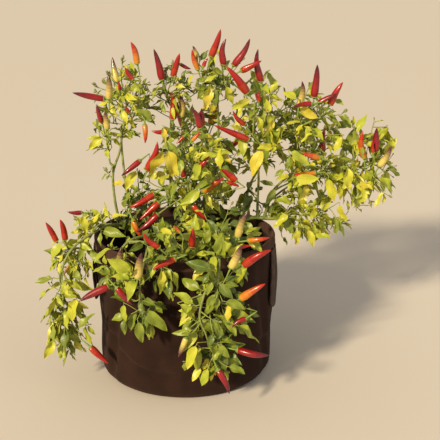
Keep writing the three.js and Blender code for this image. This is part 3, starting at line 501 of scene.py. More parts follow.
# A chilli: where its rings lie, their outline, and its width against its length
FRUIT_STATIONS = np.array([0, 0.025, 0.07, 0.14, 0.24, 0.36, 0.48, 0.6, 0.71, 0.81, 0.89, 0.95, 0.985, 1.0])
FRUIT_OUTLINE = np.array([0.5, 0.7, 0.86, 0.97, 1.0, 0.97, 0.9, 0.8, 0.67, 0.52, 0.36, 0.21, 0.1, 0.02])
FRUIT_SIDES = 12
FRUIT_WIDTHS = (2.6, 5.8)

# Bands of colour along a chilli: how far down it each ends, and how far it is towards the tip's colour
RIPENESS = {
    RED: ((0.1, 0), (0.3, 0.5), (1.0, 1)),
    CRIMSON: ((0.3, 0), (0.62, 0.25), (0.82, 0.6), (1.0, 1)),
    ORANGE: ((0.16, 0), (0.3, 0.3), (0.42, 0.5), (0.7, 0.8), (1.0, 1)),
    CREAM: ((0.3, 0), (0.42, 0.22), (0.54, 0.45), (0.66, 0.68), (0.78, 0.86), (1.0, 1)),
}

MIDDLES = np.array([mass.middle for mass in MASSES], float)
HALVES = np.array([mass.half for mass in MASSES], float)
OWN = {mass.name: own for own, mass in enumerate(MASSES)}


def seeded(seed):
    """Random numbers that come out the same each time."""
    state = seed & 0xFFFFFFFF

    def draw():
        nonlocal state
        state = (state + 0x6D2B79F5) & 0xFFFFFFFF
        mixed = ((state ^ (state >> 15)) * (state | 1)) & 0xFFFFFFFF
        mixed ^= (mixed + (mixed ^ (mixed >> 7)) * (mixed | 61)) & 0xFFFFFFFF
        return (mixed ^ (mixed >> 14)) / 4294967296

    return draw


def within(limits, random):
    return limits[0] + (limits[1] - limits[0]) * random()


def off_centre(random):
    """Three random numbers, each up to a half either side of nought."""
    return np.array([random() - 0.5, random() - 0.5, random() - 0.5])


def picked(weights, random):
    """The index that a draw falls on, each as likely as its weight."""
    draw = random() * sum(weights)
    for i, weight in enumerate(weights):
        draw -= weight
        if draw < 0:
            return i
    return len(weights) - 1


def unit(way):
    return way / np.linalg.norm(way)


def turned(way, axis, angle):
    """A direction turned round an axis of length one."""
    return (way * math.cos(angle) + np.cross(axis, way) * math.sin(angle)
            + axis * axis.dot(way) * (1 - math.cos(angle)))


def gaps(places, others):
    """How far each place lies from each of the others."""
    return np.linalg.norm(places[:, None] - others, axis=2)


def along_curve(places, shares):
    """Points on the smooth curve through places, which runs on straight at its ends."""
    places = np.asarray(places, float)
    held = np.vstack([2 * places[0] - places[1], places, 2 * places[-1] - places[-2]])
    way = np.asarray(shares, float) * (len(places) - 1)
    i = np.minimum(way.astype(int), len(places) - 2)
    w = (way - i)[:, None]
    before, start, end, after = held[i], held[i + 1], held[i + 2], held[i + 3]
    leave, arrive = (end - before) / 2, (after - start) / 2
    return (start + leave * w + (3 * (end - start) - 2 * leave - arrive) * w**2
            + (2 * (start - end) + leave + arrive) * w**3)


def curve_length(places):
    return np.linalg.norm(np.diff(along_curve(places, np.arange(201) / 200), axis=0), axis=1).sum()


def shares_along(places, step):
    count = max(2, int(curve_length(places) / step + 0.5))
    return np.arange(count + 1) / count


def depths_in(places):
    """How far out places lie in each mass's space: 0 at its middle, 1 at its edge."""
    return np.linalg.norm((places[:, None] - MIDDLES) / HALVES, axis=2)


def in_space(own, places, edge=1.0):
    """Whether places lie in a mass's space, and not in one that is nearer to them."""
    depths = depths_in(np.atleast_2d(places))
    mine = depths[:, own].copy()
    depths[:, own] = np.inf
    return (mine <= edge) & (depths.min(axis=1) > np.minimum(mine, 1) + CELL_MARGIN)


def in_room(places):
    """Whether places lie in the part's own box, or just outside it."""
    return bool(((places > ROOM_LOW) & (places < ROOM_HIGH)).all())


class Obstacles:
    """The stems and fruits as rows of balls, which twigs and leaves keep clear of."""

    def __init__(self):
        self.points = np.zeros((0, 3))
        self.radii = np.zeros(0)
        self.owners = np.zeros(0, int)

    def add(self, points, radii, owner=-1):
        self.points = np.vstack([self.points, points])
        self.radii = np.append(self.radii, np.broadcast_to(radii, len(points)))
        self.owners = np.append(self.owners, np.full(len(points), owner))

    def clear(self, places, radius, owner=-2, clearance=CLEARANCE):
        """Whether each place has room round it, from the bag and from what another mass owns."""
        places = np.atleast_2d(places)
        out = np.hypot(places[:, 0], places[:, 1])
        floor = np.where(out > BAG_CLEAR_INSIDE - radius, RIM_CLEAR, SOIL_CLEAR)
        free = (out >= BAG_CLEAR_OUTSIDE + radius) | (places[:, 2] >= floor + radius)
        others = self.owners != owner
        apart = gaps(places, self.points[others])
        return free & (apart > self.radii[others] + radius + clearance).all(axis=1)


def tapered(first, last):
    return lambda share: first + (last - first) * share


def limb_curves():
    """The main stem and each bough: its places and the radius at each share of its length."""
    plain = tapered(*STEM_RADII)
    flared = lambda share: plain(share) + FLARE * np.maximum(0, 1 - share / FLARE_SHARE) ** 2
    limbs = {"main_stem": (np.array(STEM_PLACES, float), flared)}
    for row in BOUGHS:
        mass = MASSES[OWN[row.into]]
        start = along_curve(limbs[row.parent][0], [row.at])[0]
        last = np.array(row.through[-1], float)
        middle = np.array(mass.middle, float)
        entry = middle + (last - middle) * BOUGH_INTO_MASS / np.linalg.norm((last - middle) / mass.half)
        limbs[row.name] = (np.vstack([start, row.through, entry]), tapered(*row.radii))
    return limbs


def place_fruit(own, row, obstacles, room=FRUIT_ROOM, stalk=STALK_LENGTH):
    """A fruit hangs or stands from its crown end. It takes the first depth at which it is clear."""
    x, z, lean, length, ripeness = row
    mass = MASSES[own]
    tilt, turn = math.radians(FRUIT_TILT), math.radians(lean)
    behind = -1 if mass.name.startswith("back") else 1
    facing = np.array([math.sin(turn) * math.cos(tilt), -behind * math.sin(tilt),
                       math.cos(turn) * math.cos(tilt)])
    for share in FRUIT_AHEAD:
        crown = np.array([x, mass.middle[1] - behind * share * mass.half[1], z])
        joint = crown - stalk * facing
        count = max(2, int((length + STALK_SUNK) / FRUIT_BALL_STEP + 0.5))
        line = crown + np.outer(np.linspace(-STALK_SUNK, length, count + 1), facing)
        if (obstacles.clear(line, room).all() and in_space(own, joint, FRUIT_REACH).all()
                and obstacles.clear(joint, STALK_RADIUS, own).all()):
            obstacles.add(line, FRUIT_RADIUS, own)
            return dict(crown=crown, joint=joint, facing=facing, length=length, ripeness=ripeness)
    return None


def show_fruit(fruit, obstacles):
    """Keeps the room before a fruit free of leaves, as fruits are held out into the light."""
    line = fruit["crown"] + np.outer(np.array(FRUIT_ALONG) * fruit["length"], fruit["facing"])
    out = line[1] * (1, 1, 0)
    forward = -0.5 if line[1][1] < BACK_FROM else 0.2
    out = unit(out / max(BACK_FROM, np.linalg.norm(out)) + (0, forward, 0.15))
    for far in SHOWN_STEPS:
        obstacles.add(line + far * out, SHOWN_RADIUS)


def twig_ends(own, count, taken, obstacles, random, tries=END_TRIES, inset=END_INSET, reach=None):
    """Twig ends spread evenly through the inner part of a mass's space, a leaf's reach inside its edge."""
    spread = np.maximum(inset / 2, (reach or 1) * HALVES[own] - inset)
    others = [np.asarray(place) for place in taken]
    ends = []
    for _ in range(count):
        best, best_room = None, 0
        for _ in range(tries):
            turn = 2 * math.pi * random()
            up = 2 * random() - 1
            out = 0.2 + 0.8 * math.sqrt(random())
            flat = math.sqrt(1 - up * up)
            place = MIDDLES[own] + out * spread * (flat * math.cos(turn), flat * math.sin(turn), up)
            if not reach and not in_space(own, place, 0.9)[0]:
                continue
            if not obstacles.clear(place, 2 * TWIG_RADIUS, own)[0]:
                continue
            room = FAR_AWAY
            if others:
                room = min(room, np.linalg.norm(np.array(others) - place, axis=1).min())
            if room > best_room:
                best, best_room = place, room
        if best is not None:
            ends.append(best)
            others.append(best)
    return ends


def blade_edges(root, facing, side, length):
    """The middle of a blade where it is broadest, and its edges there."""
    middle = root + LEAF_BROADEST * length * facing
    return middle, [middle + across * length * LEAF_WIDTH * side for across in (0.5, -0.5)]


def solid_leaf(root, facing, roll, length):
    """The way across one of the solids' leaves, and the places over it that are tested for room."""
    side = turned(unit(np.cross((0, 0, 1), facing)), facing, roll)
    middle, edges = blade_edges(root, facing, side, length)
    tip = root + length * facing - LEAF_DROOP * length * np.cross(facing, side)
    inner = [edge + (end - edge) * share for edge in edges for end, share in ((root, 0.45), (tip, 0.5))]
    return side, np.array([*edges, *inner, middle, middle + (root - middle) * 0.45,
                           middle + (tip - middle) * 0.5, tip])


def seen_at(pixel, depth):
    """The place that a pixel of the picture shows, on an upright plane across the plant at a depth."""
    right, down = pixel[0] - PICTURE / 2, pixel[1] - PICTURE / 2
    way = EYE_FORWARD + EYE_RIGHT * right / FOCAL - EYE_UP * down / FOCAL
    return EYE + way * (depth - EYE[1]) / way[1]


def blade_side(root, facing, random):
    """The way across a leaf whose face is turned up, outwards and towards the light, not quite truly."""
    out = np.array([root[0], root[1], 0])
    face = (np.array([0, 0, BLADE_UP]) + out * BLADE_OUT / max(BLADE_AXIS, np.linalg.norm(out)) + LIGHT_WAY
            + BLADE_RANDOM * off_centre(random))
    side = np.cross(face, facing)
    length = np.linalg.norm(side)
    return side / length if length > 0.2 else unit(np.cross((0.2, 0.3, 0.93), facing))


class Sprays:
    """Leaves that belong to one mass or bough, and keep apart from one another."""

    def __init__(self, own, obstacles):
        self.own, self.obstacles = own, obstacles
        self.leaves, self.leaf_places, self.buds, self.twigs = [], np.zeros((0, 3)), [], []

    def keep_leaf(self, leaf):
        self.leaves.append(leaf)
        self.leaf_places = np.vstack([self.leaf_places, leaf["places"]])

    def spray(self, end, ahead, tint, random, reach, first=0):
        """Leaves set round the last of a twig, the youngest at its end. Returns how many found room."""
        mass = MASSES[self.own]
        out = (end - MIDDLES[self.own]) / HALVES[self.own]
        out = out / max(1, np.linalg.norm(out))
        across = unit(np.cross(ahead, SPRAY_ACROSS))
        turn = 2 * math.pi * random()
        count = SPRAY_LEAVES[0] + int((SPRAY_LEAVES[1] - SPRAY_LEAVES[0] + 1) * random())
        grown = 0
        for k in range(first, count):
            root = end - ahead * SPRAY_BACK * k
            for attempt in range(SPRAY_TRIES):
                opened = within(SPRAY_OPEN, random)
                radial = turned(across, ahead, turn + SPRAY_TURN * k + SPRAY_TRY_TURN * attempt)
                facing = unit(ahead * math.cos(opened) + radial * math.sin(opened)
                              + out * SPRAY_OUTWARD - (0, 0, mass.hang * (0.4 + 1.2 * random())))
                length = mass.leaf * (YOUNGEST_LEAF if k == 0 else 1) * within(FINE_LEAF, random)
                side = blade_side(root, facing, random)
                middle, edges = blade_edges(root, facing, side, length)
                places = np.array([*edges, middle, root + length * facing])
                if (in_room(places) and depths_in(places)[:, self.own].max() <= reach
                        and self.obstacles.clear(places, 1, -2, FINE_CLEARANCE).all()
                        and (gaps(places, self.leaf_places) > FINE_APART).all()):
                    self.keep_leaf(dict(root=root, ahead=ahead, facing=facing, side=side, length=length,
                                        places=places, tint=tint, start=root))
                    grown += 1
                    break
        if grown:
            for _ in range(BUDS_A_SPRAY[mass.tint] if random() < BUDS_SHARE else 0):
                aside = np.array([random() - 0.5, random() - 0.5, random()])
                self.buds.append((end, unit(ahead + 0.9 * aside)))
        return grown


class Growth(Sprays):
    """A mass's skeleton of twigs as it grows from its root, with its leaves."""

    def __init__(self, own, root, ahead, obstacles, most, random):
        super().__init__(own, obstacles)
        self.most, self.random = most, random
        self.places = root[None].copy()
        self.parents, self.ways, self.forks, self.closed = [-1], [0.0], [0], [False]
        self.branches = []
        lead = root + STEM_LEAD * ahead
        heart = lead + (MIDDLES[own] - lead) * HEART_SHARE
        self.extend(0, [lead, heart] if self.free_way(lead, heart, TWIG_REACH) else [lead], closes=False)

    def free_way(self, start, end, reach, apart=TWIG_APART, shared=False):
        """Whether a straight twig has room. A shared one may cross another mass's space."""
        count = max(1, math.ceil(np.linalg.norm(end - start) / SEGMENT_STEP))
        places = start + np.outer((np.arange(count) + 1) / count, end - start)
        if not shared and not in_space(self.own, places, reach).all():
            return False
        if not self.obstacles.clear(places, TWIG_RADIUS, self.own).all():
            return False
        return (gaps(places, self.leaf_places) > apart).all()

    def extend(self, start, stops, fruit=None, leaf=None, closes=True):
        """Grows a branch from a knot through its stops, sagging a little between them."""
        branch = [start]
        for stop in stops:
            first = self.places[branch[-1]]
            steps = max(1, int(np.linalg.norm(stop - first) / TWIG_STEP + 0.5))
            for i in range(1, steps + 1):
                bend = first + (stop - first) * i / steps
                if i < steps:
                    bend = bend - (0, 0, TWIG_SAG)
                here = self.places[branch[-1]]
                for k in range(1, KNOTS_A_STEP + 1):
                    knot = branch[-1]
                    place = here + (bend - here) * k / KNOTS_A_STEP
                    self.ways.append(self.ways[knot] + np.linalg.norm(self.places[knot] - place))
                    self.places = np.vstack([self.places, place])
                    self.parents.append(knot)
                    self.forks.append(0)
                    self.closed.append(False)
                    branch.append(len(self.parents) - 1)
        self.forks[start] += 1
        self.closed[branch[-1]] = closes
        self.branches.append({"knots": branch, "fruit": fruit})
        if leaf:
            self.keep_leaf(leaf)

    def joint_for(self, end, reach, apart=TWIG_APART, shared=False):
        """The knot on the skeleton that makes the shortest way back to the stem."""
        costs = (np.linalg.norm(self.places - end, axis=1) + WAY_COST * np.array(self.ways)
                 + FORK_COST * np.array(self.forks))
        costs[0] = np.inf
        costs[np.array(self.closed)] = np.inf
        for i in np.argsort(costs, kind="stable")[:JOINT_TRIES]:
            if costs[i] < np.inf and self.free_way(self.places[i], end, reach, apart, shared):
                return int(i)
        return None

    def join(self, fruits, ends):
        """The branching rule: each end, fruits first and from the nearest to the farthest."""
        root = self.places[0].copy()
        order = sorted([(0, np.linalg.norm(fruit["joint"] - root), fruit["joint"], fruit) for fruit in fruits]
                       + [(1, np.linalg.norm(end - root), end, None) for end in ends],
                       key=lambda row: row[:2])
        for _, _, end, fruit in order:
            joint = self.joint_for(end, FRUIT_REACH if fruit else TWIG_REACH)
            if joint is None:
                continue
            leaf = None if fruit else self.grow_leaf(self.places[joint], end)
            if not fruit and not leaf:
                continue
            if leaf and np.linalg.norm(self.places[joint] - end) < SHORT_TWIG:
                self.forks[joint] += 1
                self.keep_leaf(leaf)
            else:
                self.extend(joint, [end], fruit, leaf)
                if leaf:
                    leaf["start"] = leaf["root"]

    def grow_leaf(self, start, end):
        """A leaf at the end of a twig, which points out of the mass and hangs a little."""
        random = self.random
        ahead = unit(end - start)
        out = (end - MIDDLES[self.own]) / HALVES[self.own]
        for attempt in range(LEAF_TRIES):
            facing = (off_centre(random) - (0, 0, LEAF_HANG)) * LEAF_SPREAD
            facing = unit(facing + out * LEAF_OUTWARD + ahead * LEAF_AHEAD)
            facing[2] = min(0.9, max(-0.9, facing[2]))
            facing = unit(facing)
            roll = (random() - 0.5) * LEAF_ROLL
            length = LEAF_LENGTH * (0.8 + 0.35 * random()) * (1 - 0.015 * attempt)
            side, places = solid_leaf(end, facing, roll, length)
            if (facing.dot(ahead) > LEAF_BACKWARD and in_space(self.own, places, LEAF_REACH).all()
                    and self.obstacles.clear(places, LEAF_THICKNESS, self.own).all()
                    and (gaps(places, self.places) > TWIG_APART).all()
                    and (gaps(places, self.leaf_places) > LEAF_APART).all()):
                return dict(root=end, ahead=ahead, facing=facing, side=side, length=length, places=places,
                            start=start)
        return None

    def show_leaves(self):
        """Grows the leaves that stand out in the picture, each on a twig from the nearest joint."""
        mass, random = MASSES[self.own], self.random
        self.shown = []
        for *ends, tint in SHOWN_LEAVES.get(mass.name, ()):
            for share in SHOWN_DEPTHS:
                depth = mass.middle[1] - share * mass.half[1]
                tip = seen_at(ends[2:], depth - SHOWN_TIP_NEARER)
                blade = tip - seen_at(ends[:2], depth)
                root = tip - blade / BLADE_SHARE
                facing, length = unit(blade), np.linalg.norm(blade) / BLADE_SHARE
                line = root + np.outer(SHOWN_ALONG, length * facing)
                joint = self.joint_for(root, mass.reach, SHOWN_APART, True)
                if joint is None or not in_room(line) or not self.obstacles.clear(line, 0.5, -2, 0.2).all():
                    continue
                face = unit(EYE - root) + 1.5 * np.array([random() - 0.5, random() - 0.5, random() - 0.3])
                side = unit(np.cross(face, facing))
                middle, edges = blade_edges(root, facing, side, length)
                self.keep_leaf(dict(root=root, ahead=unit(root - self.places[joint]), facing=facing,
                                    side=side, length=length, places=np.array([*edges, middle, tip]),
                                    tint=tint, start=root))
                self.extend(joint, [root])
                self.shown.append(line)
                break

    def grow_sprays(self):
        """Carries the mass on to finer twigs, each with a spray of leaves."""
        mass, random = MASSES[self.own], self.random
        for leaf in list(self.leaves):
            if "tint" in leaf:
                continue
            leaf["tint"] = picked(mass.tint, random)
            leaf["length"] *= MAIN_LEAF_SHARE * min(1, 0.1 + mass.leaf)
            leaf["side"] = blade_side(leaf["root"], leaf["facing"], random)
            if random() < BY_MAIN_LEAF:
                self.spray(leaf["root"], leaf["ahead"], leaf["tint"], random, mass.reach, first=1)
        taken = [leaf["root"] for leaf in self.leaves]
        ends = twig_ends(self.own, mass.sprays, taken, self.obstacles, random, SPRAY_END_TRIES, SPRAY_INSET,
                         mass.reach)
        for end in sorted(ends, key=lambda end: np.linalg.norm(end - self.places[0])):
            joint = self.joint_for(end, mass.reach, FINE_APART, True)
            if joint is None:
                continue
            ahead = unit(end - self.places[joint])
            if self.spray(end, ahead, picked(mass.tint, random), random, mass.reach):
                self.extend(joint, [end])

    def radii(self):
        """A twig is as thick as the twigs beyond it need."""
        load = np.zeros(len(self.parents))
        for i in range(len(load) - 1, -1, -1):
            load[i] = load[i] or FINE_TWIG_RADIUS**TWIG_THICKENING
            if self.parents[i] >= 0:
                load[self.parents[i]] += load[i]
        return np.minimum(self.most, load ** (1 / TWIG_THICKENING))


def grow_shoots(limbs, obstacles):
    """Short leafy shoots along the boughs, closer where the bough lies in leaf and few where it is bare."""
    shoots = []
    for i, row in enumerate(BOUGHS):
        own = OWN[row.into]
        places, radius_at = limbs[row.name]
        random = seeded(1501 + i)
        sprays = Sprays(own, obstacles)
        count = int(curve_length(places) * (1 - SHOOT_FROM) * row.shoots / SHOOT_STEP)
        for k in range(count):
            share = SHOOT_FROM + (1 - SHOOT_FROM) * (k + random()) / count
            here, beyond = along_curve(places, [min(0.98, share), min(0.98, share) + 0.02])
            ahead = unit(beyond - here)
            across = unit(np.cross(ahead, SPRAY_ACROSS))
            for attempt in range(SHOOT_TRIES):
                radial = turned(across, ahead, SPRAY_TURN * k + 1.3 * attempt + random())
                way = unit(0.55 * ahead + 0.8 * radial + (0, 0, 0.2))
                long = within(SHOOT_LENGTH, random)
                start = here + 0.5 * radius_at(share) * way
                end = here + (radius_at(share) + long) * way
                path = here + np.outer(np.linspace(0.4, 1, SHOOT_BALLS), end - here)
                if not obstacles.clear(path[2:], FINE_TWIG_RADIUS, -2, 0.3).all():
                    continue
                if sprays.spray(end, way, picked(MASSES[own].tint, random), random, SHOOT_REACH):
                    sprays.twigs.append(np.array([start, (start + end) / 2 - (0, 0, 1), end]))
                    break
        shoots.append(sprays)
    return shoots


@functools.lru_cache(maxsize=1)
def grown_plant():
    """Every limb, twig, leaf and fruit of the plant, in millimetres."""
    limbs = limb_curves()
    obstacles = Obstacles()
    for places, radius_at in limbs.values():
        shares = shares_along(places, SAMPLE_STEP)
        obstacles.add(along_curve(places, shares), radius_at(shares))
    fruits = [[fruit for fruit in [place_fruit(own, row, obstacles) for row in mass.fruits] if fruit]
              for own, mass in enumerate(MASSES)]
    growths = []
    for own, mass in enumerate(MASSES):
        places, radius_at = limbs[next(row.name for row in BOUGHS if row.into == mass.name)]
        limb = along_curve(places, shares_along(places, LIMB_STEP))
        ahead = unit(limb[-1] - limb[-2])
        random = seeded(101 + own)
        growth = Growth(own, limb[-1] + GAP * ahead, ahead, obstacles, float(radius_at(1.0)), random)
        ends = twig_ends(own, mass.ends, [fruit["joint"] for fruit in fruits[own]], obstacles, random)
        growth.join(fruits[own], ends)
        growths.append(growth)
    for growth in growths:
        small = [place_fruit(growth.own, row, obstacles, SMALL_FRUIT_ROOM, SMALL_STALK_LENGTH)
                 for row in MASSES[growth.own].small]
        growth.join([fruit for fruit in small if fruit], [])
    for growth in growths:
        for branch in growth.branches:
            if branch["fruit"]:
                show_fruit(branch["fruit"], obstacles)
        growth.show_leaves()
    for growth in growths:
        for line in growth.shown:
            for far in SHOWN_STEPS[:2]:
                obstacles.add(line + far * unit(EYE - line[0]), 4)
    for growth in growths:
        growth.grow_sprays()
    return limbs, growths, grow_shoots(limbs, obstacles)


def linear(code):
    """An sRGB hex value as a linear colour."""
    parts = [int(code[i:i + 2], 16) / 255 for i in (1, 3, 5)]
    return [p / 12.92 if p <= 0.04045 else ((p + 0.055) / 1.055) ** 2.4 for p in parts] + [1.0]


# The finishes that run between two colours: each one's label, the first colour and the last, and what has it
FINISHES = {
    "felt": ("Felt", "#21130e", "#2b1a14", "The bag's felt"),
    "lining": ("Lining", "#0f0c0b", "#1a1513", "The inside of the bag"),
    # The binding is lighter than the felt of the wall: partly its own colour and partly a painted highlight
    # where the rim catches the light.
    "binding": ("Binding", "#32201a", "#463129", "The band round the rim"),
    "webbing": ("Webbing", "#33231c", "#4d382d", "The handles"),
    "mix": ("Potting mix", "#16100c", "#33261b", "Damp peat and drier bark"),
    "crumbs": ("Crumbs", "#1b130d", "#54402d", "Loose crumbs on the mix"),
    "stem": ("Stem", "#5d5334", "#8f8158", "Furrows and ridges of the stem's bark"),
    "bough": ("Boughs", "#5f6a30", "#8a9550", "Shaded and pale green of the boughs"),
    # The leaf greens are partly the leaves' own colours and partly painted light: the deep green is also
    # painted shade among the leaves, and the lime green is painted sunlight on them.
    "deep": ("Deep leaves", "#4d611b", "#657522", "The oldest leaves"),
    "mid": ("Mid leaves", "#6d7e20", "#87932a", "Full-grown leaves"),
    "fresh": ("Fresh leaves", "#92a025", "#a9b034", "Young leaves"),
    "lime": ("Lime leaves", "#aeb428", "#c2be3d", "Leaves that turn pale"),
    "yellow": ("Yellow leaves", "#bcae2a", "#cabd40", "Leaves about to drop"),
    RED: ("Red chillies", "#b03a15", "#99150c", "Ripe chillies, from crown to tip"),
    CRIMSON: ("Crimson chillies", "#8c1519", "#540e20", "Fully ripe chillies, from crown to tip"),
    ORANGE: ("Orange chillies", "#c9861c", "#ab2a10", "Half ripe chillies, from crown to tip"),
    CREAM: ("Cream chillies", "#cbb862", "#4f2230", "Unripe chillies with a flushed tip"),
}
PLAIN_COLOURS = {
    "hem_thread": ("Hem thread", "#5c4336", "Stitches of the hem"),
    "handle_thread": ("Handle thread", "#644a3b", "Stitches of the handles"),
    "twigs": ("Twigs", "#86913f", "Young green twigs"),
    "leaf_stalks": ("Leaf stalks", "#a3ab58", "Stalks and ribs of the leaves"),
    "caps": ("Caps", "#7f9642", "Green caps and stalks of the chillies"),
    "buds": ("Buds", "#7f8650", "Young flower buds"),
}


def colour_settings():
    """A setting for each plain colour, and for the first and the last colour of each finish."""
    rows = dict(PLAIN_COLOURS)
    for finish, (label, first, last, description) in FINISHES.items():
        rows[finish + "_first"] = (label + ", first", first, description + ": first colour")
        rows[finish + "_last"] = (label + ", last", last, description + ": last colour")
    return {key: FloatVectorProperty(name=name, description=description, subtype="COLOR", size=4, min=0,
                                     max=1, default=linear(code))
            for key, (name, code, description) in rows.items()}


class ChilliPlantColours(bpy.types.PropertyGroup):
    """The colours that a user would change. A finish runs from its first colour to its last."""

    __annotations__ = colour_settings()


class ChilliPlantSettings(bpy.types.PropertyGroup):
    """The sizes that a user would change."""

    bag_height: FloatProperty(name="Bag height", description="From the flat underside to the rim",
                              default=BAG_HEIGHT, unit="LENGTH")
    rim_radius: FloatProperty(name="Rim radius", description="Outside of the felt at the rim",
                              default=0.150, unit="LENGTH")
    base_radius: FloatProperty(name="Base radius", description="Outside of the felt at the foot",
                               default=0.146, unit="LENGTH")
    felt: FloatProperty(name="Felt thickness", description="Thickness of the bag's wall",
                        default=0.004, unit="LENGTH")
    hem: FloatProperty(name="Hem", description="Height of the band sewn round the rim",
                       default=0.017, unit="LENGTH")
    fold_depth: FloatProperty(name="Fold depth", description="How far the soft wall bulges and sinks",
                              default=0.0045, unit="LENGTH")
    strap_width: FloatProperty(name="Strap width", description="Width of the webbing of the handles",
                               default=0.020, unit="LENGTH")
    crumbs: IntProperty(name="Crumbs", description="Loose lumps on the potting mix", default=900)


def settings():
    return bpy.context.scene.chilli_plant


def colour_of(name):
    return list(getattr(bpy.context.scene.chilli_colours, name))


def between(name, *shares):
    """Colours part of the way from a finish's first colour to its last."""
    first, last = np.array(colour_of(name + "_first")), np.array(colour_of(name + "_last"))
    return [(first + (last - first) * share).tolist() for share in shares]


def add_node(tree, kind, settings=None, links=None):
    """Adds a node, with its settings, its input values and the sockets that feed it."""
    node = tree.nodes.new(kind)
    for key, value in (settings or {}).items():
        if isinstance(key, int) or key in node.inputs:
            node.inputs[key].default_value = value
        else:
            setattr(node, key, value)
    for key, source in (links or {}).items():
        tree.links.new(source, node.inputs[key])
    return node


def bare_material(name, roughness, **sockets):
    """A material whose shader has the values given, with its tree and its shader."""
    material = bpy.data.materials.new(name)
    material.use_nodes = True
    shader = material.node_tree.nodes["Principled BSDF"]
    for socket, value in {"Roughness": roughness, **sockets}.items():
        shader.inputs[socket.replace("_", " ")].default_value = value
    return material, material.node_tree, shader


def mottled(tree, shader, colours, size_mm, detail=3.0):
    """Colours that run into one another in patches of a real size."""
    place = add_node(tree, "ShaderNodeTexCoord")
    noise = add_node(tree, "ShaderNodeTexNoise", {"Scale": 1000 / size_mm, "Detail": detail},
                     {"Vector": place.outputs["Object"]})
    ramp = add_node(tree, "ShaderNodeValToRGB", {}, {"Fac": noise.outputs["Fac"]})
    spread = ramp.color_ramp
    spread.elements[0].position, spread.elements[0].color = PATCHES_FROM, colours[0]
    spread.elements[1].position, spread.elements[1].color = PATCHES_TO, colours[-1]
    for i, colour in enumerate(colours[1:-1], 1):
        share = i / (len(colours) - 1)
        spread.elements.new(PATCHES_FROM + (PATCHES_TO - PATCHES_FROM) * share).color = colour
    tree.links.new(ramp.outputs["Color"], shader.inputs["Base Color"])


def bumped(tree, shader, kind, values, depth_mm, strength, height="Fac", drawn=(1, 1, 1)):
    """A relief of a real depth from a texture, which can be drawn out along the piece."""
    place = add_node(tree, "ShaderNodeTexCoord")
    mapped = add_node(tree, "ShaderNodeMapping", {"Scale": drawn}, {"Vector": place.outputs["Object"]})
    texture = add_node(tree, kind, values, {"Vector": mapped.outputs["Vector"]})
    bump = add_node(tree, "ShaderNodeBump", {"Strength": strength, "Distance": depth_mm * MM},
                    {"Height": texture.outputs[height]})
    tree.links.new(bump.outputs["Normal"], shader.inputs["Normal"])


def felt(name, colours, sheen):
    """Needled polyester felt: matt, with short fibres that catch the light as a soft bloom."""
    material, tree, shader = bare_material(name, 0.95, Sheen_Weight=sheen, Sheen_Roughness=0.6,
                                           Sheen_Tint=linear("#c9a18c"), Specular_IOR_Level=0.16)
    mottled(tree, shader, colours, 34, 4.0)
    # The fibres are 0.05 mm thick and are drawn as tufts of 1.4 mm, the finest that shows.
    bumped(tree, shader, "ShaderNodeTexNoise", {"Scale": 1000 / 1.4, "Detail": 2.0}, 0.5, 0.7)
    return material


def webbing(name, colours):
    """Woven polypropylene tape: ribs run across it, with a dull plastic shine."""
    material, tree, shader = bare_material(name, 0.72, Specular_IOR_Level=0.35)
    mottled(tree, shader, colours, 9)
    # The ribs are 2 mm apart and are drawn 4 mm apart to show. The texture has 20 / 6.2832 bands a unit.
    ribs = {"Scale": 1000 / 2 / 6.2832, "bands_direction": "Z", "Distortion": 0.6}
    bumped(tree, shader, "ShaderNodeTexWave", ribs, 0.4, 0.8)
    return material


def potting_mix(name, colours):
    """Peat and composted bark, damp: dark crumbs with no shine."""
    material, tree, shader = bare_material(name, 1.0, Specular_IOR_Level=0.15)
    mottled(tree, shader, colours, 5, 5.0)
    bumped(tree, shader, "ShaderNodeTexVoronoi", {"Scale": 1000 / 3}, 1.5, 1.0, "Distance")
    return material


def bark(name, colours, ridge_mm, roughness):
    """Stem skin: long fine ridges, corky and dull at the foot and waxy on the green boughs."""
    material, tree, shader = bare_material(name, roughness, Specular_IOR_Level=0.35)
    mottled(tree, shader, colours, 12, 4.0)
    bumped(tree, shader, "ShaderNodeTexNoise", {"Scale": 1000 / ridge_mm, "Detail": 3.0}, 0.35, 0.8,
           drawn=(1, 1, 0.18))
    return material


def leaf_blade(name, colours):
    """A living chilli leaf: two near greens that run together, under a wax that gives a soft shine."""
    material, tree, shader = bare_material(name, 0.42, Specular_IOR_Level=0.5)
    mottled(tree, shader, colours, 16, 2.0)
    bumped(tree, shader, "ShaderNodeTexNoise", {"Scale": 1000 / 4, "Detail": 2.0}, 0.8, 0.6)
    return material


def green_skin(name, colour, roughness=0.55):
    """Stalks and young shoots: plain green with a faint waxy shine."""
    material, tree, shader = bare_material(name, roughness, Base_Color=colour, Specular_IOR_Level=0.4)
    bumped(tree, shader, "ShaderNodeTexNoise", {"Scale": 1000 / 2.5, "Detail": 2.0}, 0.25, 0.5)
    return material


def chilli_skin(name, colour):
    """A chilli's skin: thin, tight and waxed, so it gives sharp highlights over a deep colour."""
    material, tree, shader = bare_material(name, 0.3, Base_Color=colour, Specular_IOR_Level=0.45,
                                           Coat_Weight=0.25, Coat_Roughness=0.12)
    bumped(tree, shader, "ShaderNodeTexNoise", {"Scale": 1000 / 7, "Detail": 1.0}, 0.5, 0.5)
    return material


def thread(name, colour):
    """Bonded nylon thread: a slight gleam on each stitch."""
    return bare_material(name, 0.6, Base_Color=colour)[0]


def placed(name, data, place=(0, 0, 0)):
    """A new object in the scene, with its mesh, light or camera."""
    made = bpy.data.objects.new(name, data)
    bpy.context.collection.objects.link(made)
    made.location = place
    return made


